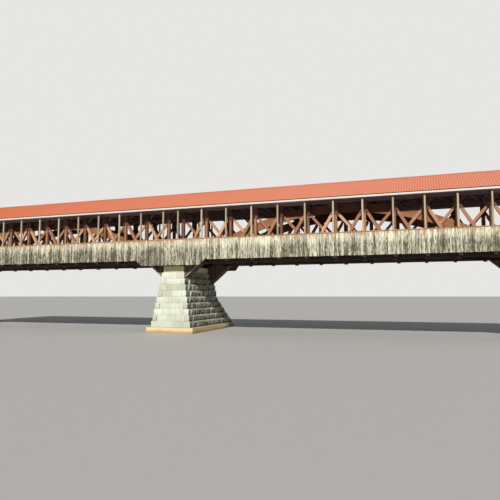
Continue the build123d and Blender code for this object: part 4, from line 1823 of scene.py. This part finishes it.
@dataclass
class Boarding(Boards):
    """Boards of the portals, the deck, the fascias and the siding's cap rails.

    Attributes:
        wide: mean width of the portals' boards.
        plank: mean width of the deck's planks.
        ragged: how uneven their ends are.
        long_board: mean length of the fascias' and cap rails' boards.
        rail: width of the cap rails.
        corner: size of the slanted corners of the portals' openings.
    """

    wide: float = 0.105
    plank: float = 0.125
    ragged: float = 0.01
    long_board: float = 2.44
    rail: float = 0.075
    corner: float = 0.26

    def portal(self, name: str, end: int) -> Piece:
        """Board up one portal's jambs and gable.

        Args:
            name: left or right.
            end: -1 or 1.

        Returns:
            The boards.
        """
        low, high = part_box(f"{name}_portal_jambs")
        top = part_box(f"{name}_gable")[1]
        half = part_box("right_back_arch")[0].y
        foot = high.z - self.corner
        pieces = []
        for side_name, side in SIDES.items():
            y0, y1 = across(side, half, high.y)
            pieces.append(self.boards(f"{name}_{side_name}_jamb", (low.x, y0, low.z),
                                      (high.x, y1, high.z), 1, 0, self.wide))
            y0, y1 = across(side, half - self.corner, half)
            haunch = self.boards(f"{name}_{side_name}_haunch", (low.x, y0, foot),
                                 (high.x, y1, high.z), 1, 0, self.wide)
            cut_away(haunch, (0, side * half, foot), (0, -side, -1))
            pieces.append(haunch)
        gable = self.boards(f"{name}_gable_boards", (low.x, -top.y, high.z), (high.x, top.y, top.z),
                            1, 0, self.wide)
        for side in SIDES.values():
            cut_away(gable, (0, 0, top.z), (0, side * Roof().fall, 1))
        return join_pieces(f"{name}_portal_boards", pieces + [gable])

    def build(self) -> None:
        """Model and dress all the boards."""
        grey = WeatheredBoards("weathered_portal_boards", pale="cdc8b0", dark="6d6551", top=7.4,
                               reach=(0.035, 0.2))
        deck = Timber("worn_deck_planks", dark="5b4a3a", light="93816a", way=Way.ACROSS, contrast=0.6)
        rail = Timber("cap_rail_boards", dark="7d5c3e", light="cdb083", way=Way.ALONG, contrast=0.4)
        cream = Paint("cream_paint", rough=0.6)
        for name, end in ENDS.items():
            fit(self.portal(name, end), "portal_boards", grey, f"{name}_portal_jambs", f"{name}_gable")
        planks = self.boards("deck_planking", *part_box("roadway_deck"), 0, 2, self.plank, self.ragged)
        fit(planks, "deck_planks", deck, "roadway_deck")
        rails = []
        low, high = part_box("siding_cap_rails")
        for name, side in SIDES.items():
            y0, y1 = across(side, high.y - self.rail, high.y)
            rails.append(self.boards(f"{name}_cap_boards", (low.x, y0, low.z), (high.x, y1, high.z),
                                     0, 2, self.long_board))
            fit(self.boards(f"{name}_fascia_boards", *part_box(f"{name}_fascia"), 0, 1, self.long_board),
                "white_trim", cream, f"{name}_fascia")
        fit(join_pieces("siding_cap_boards", rails), "brown_rail", rail, "siding_cap_rails")
        dress(cream, "rake_boards")


@dataclass
class Boxing(Boards):
    """Boarded troughs round the arch feet, painted dark as shade, with pale trims on their slanted edges,
    paler still as painted light.

    Attributes:
        board: mean width of a board.
        thick: thickness of the boards.
        lip: how far the soffit stands beyond the side boards.
        lap: thickness of the trims.
        trim: their width.
        front: start, stop and foot of the downstream troughs' slanted edges.
        back: the same of the upstream ones.
    """

    board: float = 0.085
    thick: float = 0.018
    lip: float = 0.012
    lap: float = 0.007
    trim: float = 0.045
    front: tuple[float, float, float] = (0.617, 1.400, 2.660)
    back: tuple[float, float, float] = (0.671, 1.795, 2.380)

    def trough(self, name: str, lay: Matrix, side: int, start: float, stop: float,
               foot: float) -> tuple[list[Piece], Piece]:
        """Board up one trough at the right face of the pier, laid where it belongs.

        Args:
            name: its name.
            lay: mirror and shift to its own place.
            side: -1 for the front, 1 for the back.
            start: where its slanted edge starts.
            stop: where it meets the chord.
            foot: height of the start.

        Returns:
            The side boards and the soffit, and the trim.
        """
        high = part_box("arch_foot_boxing")[1]
        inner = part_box("right_back_arch")[0].y - 2 * self.clear - self.thick
        outer = high.y - self.lip - self.thick
        length = math.hypot(stop - start, high.z - foot)
        slope = Vector((stop - start, 0, high.z - foot)).normalized()
        out = Vector((slope.z, 0, -slope.x))
        down = placed(slope, (0, 1, 0), -out, (start, 0, foot))
        pieces = []
        for number, near in enumerate((inner, outer)):
            y0, y1 = across(side, near, near + self.thick)
            cheek = self.boards(f"{name}_cheek_{number}", (start, y0, foot), (stop, y1, high.z),
                                0, 1, self.board)
            cut_away(cheek, (start, 0, foot), out)
            pieces.append(cheek)
        y0, y1 = across(side, inner - self.lip, outer + self.thick + self.lip)
        soffit = self.boards(f"{name}_soffit", (0, y0, -self.thick * slope.x), (length, y1, -self.clear),
                             0, 2, self.board, 0.0, down)
        pieces.append(soffit)
        y0, y1 = across(side, outer + self.thick, outer + self.thick + self.lap)
        trim = self.boards(f"{name}_trim", (4 * self.clear, y0, self.clear),
                           (length - self.trim, y1, self.trim), 0, 1, length, 0.0, down)
        for piece in pieces + [trim]:
            self.lay(piece, lay)
        return pieces, trim

    def lay(self, piece: Piece, place: Matrix) -> None:
        """Put a modelled piece in its place, with its faces still outwards.

        Args:
            piece: the piece.
            place: mirror and shift.
        """
        piece.data.transform(place)
        if place.determinant() < 0:
            piece.data.flip_normals()

    def build(self) -> None:
        """Model and dress the eight troughs."""
        middle = TRUSS.arch_circle()[0]
        boards, trims = [], []
        for side_name, side in SIDES.items():
            sizes = self.front if side < 0 else self.back
            for end_name, end in ENDS.items():
                for spot, lay in (("pier", Matrix.Diagonal((end, 1, 1, 1))),
                                  ("abutment", Matrix.Translation((end * 2 * middle, 0, 0))
                                   @ Matrix.Diagonal((-end, 1, 1, 1)))):
                    laid, trim = self.trough(f"{end_name}_{side_name}_{spot}", lay, side, *sizes)
                    boards += laid
                    trims.append(trim)
        # Painted shade: the troughs' boards are darkened to stand for the shade beneath the bridge.
        wood = Timber("shaded_boxing_boards", dark="2f261f", light="6e5a4a", way=Way.UPRIGHT, contrast=0.8)
        # Part painted light: the trims are pale boards, made paler so that they stay bright where they lie
        # in shade.
        pale = Timber("boxing_trim", dark="8d7a5c", light="cdbd94", way=Way.ALONG, contrast=0.3)
        fit(join_pieces("arch_foot_boards", boards), "boxing_boards", wood, "arch_foot_boxing")
        fit(join_pieces("arch_foot_trims", trims), "weathered_siding", pale)


@dataclass
class Fasteners:
    """Bolts with square washers where posts, chords and arches are held together.

    Attributes:
        washer: size of a washer.
        plate: its thickness.
        nut: radius of a nut.
        nut_height: its height.
        end: how far the bolt's end stands out of the nut.
        spread: half the height between the two bolts of a joint.
        offset: half the distance between them along the bridge.
        edge: width of a washer's worn edges.
        nut_turn: how far a nut is turned, in radians.
        rim: width of a nut's rim round the bolt's end, as a share of its radius.
    """

    washer: float = 0.046
    plate: float = 0.004
    nut: float = 0.014
    nut_height: float = 0.010
    end: float = 0.005
    spread: float = 0.042
    offset: float = 0.030
    edge: float = 0.001
    nut_turn: float = 0.3
    rim: float = 0.35

    def bolt(self) -> Piece:
        """Model one washer with its nut and the bolt's end, which look along -Y.

        Returns:
            The bolt, with the middle of its seat at the origin.
        """
        half = self.washer / 2
        washer = add_block("washer", (-half, -self.plate, -half), (half, 0, half))
        finish_with(washer, "BEVEL", width=self.edge, segments=1)
        deselect_all()
        bpy.ops.mesh.primitive_cylinder_add(vertices=6, radius=self.nut, depth=self.nut_height,
                                            location=(0, -self.plate - self.nut_height / 2, 0),
                                            rotation=(math.pi / 2, self.nut_turn, 0))
        nut = bpy.context.active_object
        bpy.ops.object.transform_apply()
        with editing(nut):
            pick(nut, "FACE", facing(0, -1, 0))
            bpy.ops.mesh.inset(thickness=self.nut * self.rim)
            bpy.ops.mesh.extrude_region_move(TRANSFORM_OT_translate={"value": (0, -self.end, 0)})
        return join_pieces("bolt", [washer, nut])

    def joint(self, x: float, y: float, z: float, look: int) -> list[Matrix]:
        """Places of a joint's two bolts round a point, which look -1 or 1 across the bridge."""
        return [placed((1, 0, 0), (0, -look, 0), (0, 0, 1),
                       (x + step * self.offset, y, z + step * self.spread)) for step in (-1, 1)]

    def joints(self, name: str, side: int) -> list[Matrix]:
        """Places of all bolts of one side's trusses and arches.

        Args:
            name: front or back.
            side: -1 or 1.

        Returns:
            The places.
        """
        middle, centre, radius = TRUSS.arch_circle()
        chords = [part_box(f"{name}_{chord}_chord") for chord in ("bottom", "top")]
        outer, inner = sorted((chords[0][0].y, chords[0][1].y), key=abs, reverse=True)
        arch_low, arch_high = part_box("right_back_arch")
        found = []
        for post in TRUSS.posts():
            for x in (post, -post):
                for low, high in chords:
                    if post < high.x:
                        found += self.joint(x, outer, (low.z + high.z) / 2, side)
                found += self.joint(x, inner, (chords[1][0].z + chords[1][1].z) / 2, -side)
                if arch_low.x + self.washer < post < arch_high.x - self.washer:
                    reach = radius + TRUSS.arch_depth / 2
                    rise = centre + math.sqrt(reach ** 2 - (post - middle) ** 2)
                    found += self.joint(x, side * arch_low.y, rise, -side)
        return found

    def build(self) -> None:
        """Model and dress the bolts."""
        dice = random.Random("bolts")
        master = self.bolt()
        places = [place for name, side in SIDES.items() for place in self.joints(name, side)]
        bolts = join_copies("truss_bolts", [Copy(master, place, dice.random()) for place in places])
        fit(bolts, "roof_metal", Iron("rusty_iron", rough=0.7, metal=0.4, relief=0.0005))


@dataclass
class TimberFrame:
    """The sawn timbers of the trusses, the floor and the roof, with their edges worn.

    Attributes:
        worn: how far the edges are worn away.
        scarf: length of the timbers that chords and plates are made of.
        gap: width of the joint between two of them.
        hair: half the joint between timbers that touch.
        ridge: half the thickness of the ridge board.
        sharp: edges sharper than this many degrees are worn.
    """

    worn: float = 0.005
    scarf: float = 4.4
    gap: float = 0.003
    hair: float = 0.0006
    ridge: float = 0.015
    sharp: float = 40.0

    def wear(self, piece: Piece) -> None:
        """Wear a piece's edges away."""
        finish_with(piece, "BEVEL", width=self.worn, segments=1, limit_method="ANGLE",
                    angle_limit=math.radians(self.sharp))

    def mount(self, node: str, pieces: Sequence[Piece], finish: Finish) -> None:
        """Join a node's timbers in one piece, dress it, and hide the node."""
        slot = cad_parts[node].data.materials[0].name
        fit(join_pieces(f"sawn_{node}", pieces), slot, finish, node)

    def timbers(self, finish: Finish, *nodes: str, axis: int = 0,
                touching: Sequence[float] = ()) -> None:
        """Model nodes again with worn edges, and dress them.

        Args:
            finish: the finish.
            nodes: the nodes.
            axis: 0, 1 or 2, the way along which timbers touch.
            touching: where they touch, and are set a hair apart.
        """
        way = Vector([float(i == axis) for i in range(3)])
        for node in nodes:
            pieces = []
            for before, after in zip([None, *touching], [*touching, None]):
                piece = copy_of_node(f"{node}_stock", node)
                if before is not None:
                    cut_away(piece, way * (before + self.hair), -way)
                if after is not None:
                    cut_away(piece, way * (after - self.hair), way)
                self.wear(piece)
                pieces.append(piece)
            self.mount(node, pieces, finish)

    def scarfed(self, finish: Finish, *nodes: str) -> None:
        """Model nodes of two long sticks each again, in lengths whose joints are staggered.

        Args:
            finish: the finish.
            nodes: the nodes.
        """
        for node in nodes:
            low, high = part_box(node)
            middle = ((low + high) / 2).y
            lengths = []
            for side in (-1, 1):
                start = low.x if side < 0 else low.x - self.scarf / 2
                while start < high.x:
                    piece = copy_of_node(f"{node}_length", node)
                    cut_away(piece, (0, middle, 0), (0, -side, 0))
                    if start > low.x:
                        cut_away(piece, (start + self.gap / 2, 0, 0), (-1, 0, 0))
                    start += self.scarf
                    if start < high.x:
                        cut_away(piece, (start - self.gap / 2, 0, 0), (1, 0, 0))
                    self.wear(piece)
                    lengths.append(piece)
            self.mount(node, lengths, finish)

    def build(self) -> None:
        """Model and dress the timbers."""
        # Painted shade: the chords, bolsters, floor beams, bracing and siding frame under the deck get dark
        # colours that stand for the shade beneath the bridge.
        low_shade = dict(dark="1d1512", light="4a3a30")
        long = Timber("shaded_long_timber", way=Way.ALONG, cell=2.5, **low_shade)
        self.scarfed(long, "front_bottom_chord", "back_bottom_chord")
        self.timbers(long, "bolster_beams")
        self.timbers(Timber("shaded_cross_timber", way=Way.ACROSS, cell=0.2, **low_shade),
                     "floor_beams", "lower_lateral_bracing")
        self.timbers(Timber("siding_frame_timber", way=Way.ALONG, cell=1.25, **low_shade),
                     "front_siding_frame", "back_siding_frame")
        # Painted shade: the truss timbers are darker above the eave's shadow line and below the deck.
        reddish = dict(high_shade=5.33, low_shade=3.6, contrast=0.6)
        brown = dict(dark="80523a", light="dbab84", **reddish)
        self.timbers(Timber("truss_post_timber", way=Way.UPRIGHT, cell=0.625, dark="5e3829",
                            light="b5815f", **reddish), "front_truss_posts", "back_truss_posts")
        self.timbers(Timber("main_brace_timber", way=Way.BRACE, cell=1.25, **brown),
                     "front_main_braces", "back_main_braces")
        self.timbers(Timber("counterbrace_timber", way=Way.COUNTER, cell=1.25, **brown),
                     "front_counterbraces", "back_counterbraces", touching=(-TRUSS.turn, TRUSS.turn))
        # Painted shade: the roof framing's colours are partly its own dark brown, darkened further and
        # tinted mauve for the cool shade under the roof.
        roofing = dict(dark="544042", light="9c7e84")
        self.scarfed(Timber("top_chord_timber", way=Way.ALONG, cell=2.5, **roofing),
                     "front_top_chord", "back_top_chord", "eave_plates")
        tie = Timber("tie_timber", way=Way.ACROSS, cell=0.625, **roofing)
        self.timbers(tie, "tie_beams", "upper_lateral_bracing")
        self.timbers(tie, "rafters", axis=1, touching=(-self.ridge, self.ridge))
        # Painted shade: the eave posts are darker below the siding's lower edge.
        self.timbers(Timber("eave_post_timber", way=Way.UPRIGHT, cell=0.625, dark="8a7a60",
                            light="cfc1a3", low_shade=3.48, shade_tint="463a34"),
                     "front_eave_posts", "back_eave_posts")


@dataclass
class Studio:
    """Camera, soft light and plain floor.

    Attributes:
        eye: the camera's place.
        turn: how far left of square-on it looks, in degrees.
        tilt: how far up it looks.
        roll: its tilt to one side.
        lens: focal length in millimetres.
        film: width of the camera's frame in millimetres.
        sight: how far the camera sees.
        sun_turn: how far left of square-on the key light stands.
        sun_height: its height above the floor.
        key: strength of the key light.
        key_spread: how wide the key light is, in degrees.
        key_colour: its colour.
        fill: strength of the light from all round.
        fill_colour: its colour.
        backdrop: brightness of the backdrop.
        backdrop_colour: its colour.
        floor: length of the floor.
        floor_colour: its colour.
    """

    eye: tuple[float, float, float] = (11.65, -23.4, 1.86)
    turn: float = 19.5
    tilt: float = 5.0
    roll: float = 0.1
    lens: float = 36.0
    film: float = 36.0
    sight: float = 400.0
    sun_turn: float = -8.0
    sun_height: float = 33.0
    key: float = 3.7
    key_spread: float = 3.0
    key_colour: tuple[float, float, float] = (1.0, 0.975, 0.93)
    fill: float = 0.24
    fill_colour: Colour = (0.90, 0.95, 1.0, 1)
    backdrop: float = 0.80
    backdrop_colour: Colour = (1.0, 0.99, 0.97, 1)
    floor: float = 600.0
    floor_colour: Colour = (0.50, 0.49, 0.475, 1)

    def build(self) -> None:
        """Set up the camera, the light and the floor."""
        scene = bpy.context.scene
        camera = bpy.data.cameras.new("camera")
        camera.sensor_width, camera.lens, camera.clip_end = self.film, self.lens, self.sight
        viewer = add_object("camera", camera)
        viewer.location = self.eye
        viewer.rotation_euler = [math.radians(a) for a in (90 + self.tilt, self.roll, self.turn)]
        scene.camera = viewer
        key = bpy.data.lights.new("key", "SUN")
        key.energy, key.angle, key.color = self.key, math.radians(self.key_spread), self.key_colour
        lamp = add_object("key", key)
        turn, height = math.radians(self.sun_turn), math.radians(self.sun_height)
        towards = Vector((-math.sin(turn) * math.cos(height), -math.cos(turn) * math.cos(height),
                          math.sin(height)))
        lamp.rotation_euler = towards.to_track_quat("Z", "Y").to_euler()
        deselect_all()
        bpy.ops.mesh.primitive_plane_add(size=self.floor)
        floor = bpy.context.active_object
        floor.name = "floor"
        plain = bpy.data.materials.new("plain_floor")
        plain.use_nodes = True
        shader = plain.node_tree.nodes["Principled BSDF"]
        shader.inputs["Base Color"].default_value = self.floor_colour
        shader.inputs["Roughness"].default_value = 0.9
        floor.data.materials.append(plain)
        self.surround()
        scene.view_settings.view_transform = "Standard"

    def surround(self) -> None:
        """Light from all round, with a brighter plain backdrop where the camera looks past."""
        world = bpy.data.worlds.new("surround")
        bpy.context.scene.world = world
        world.use_nodes = True
        world.node_tree.nodes.clear()
        kit = NodeKit(world.node_tree)
        light = kit.add("ShaderNodeBackground", self.fill_colour, self.fill)
        drop = kit.add("ShaderNodeBackground", self.backdrop_colour, self.backdrop)
        seen = kit.add("ShaderNodeLightPath").outputs["Is Camera Ray"]
        mixed = kit.add("ShaderNodeMixShader", seen, light.outputs[0], drop.outputs[0])
        kit.add("ShaderNodeOutputWorld", mixed.outputs[0])


def main() -> None:
    """Build every sub-assembly in order."""
    logging.basicConfig(level=logging.INFO, format="%(message)s")
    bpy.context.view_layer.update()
    Studio().build()
    for assembly in (TimberFrame(), Roof(), Siding(), Masonry(), Concrete(), Arches(), Boarding(), Boxing(),
                     Fasteners()):
        log.info("building %s", type(assembly).__name__)
        assembly.build()


if __name__ == "__main__":
    main()
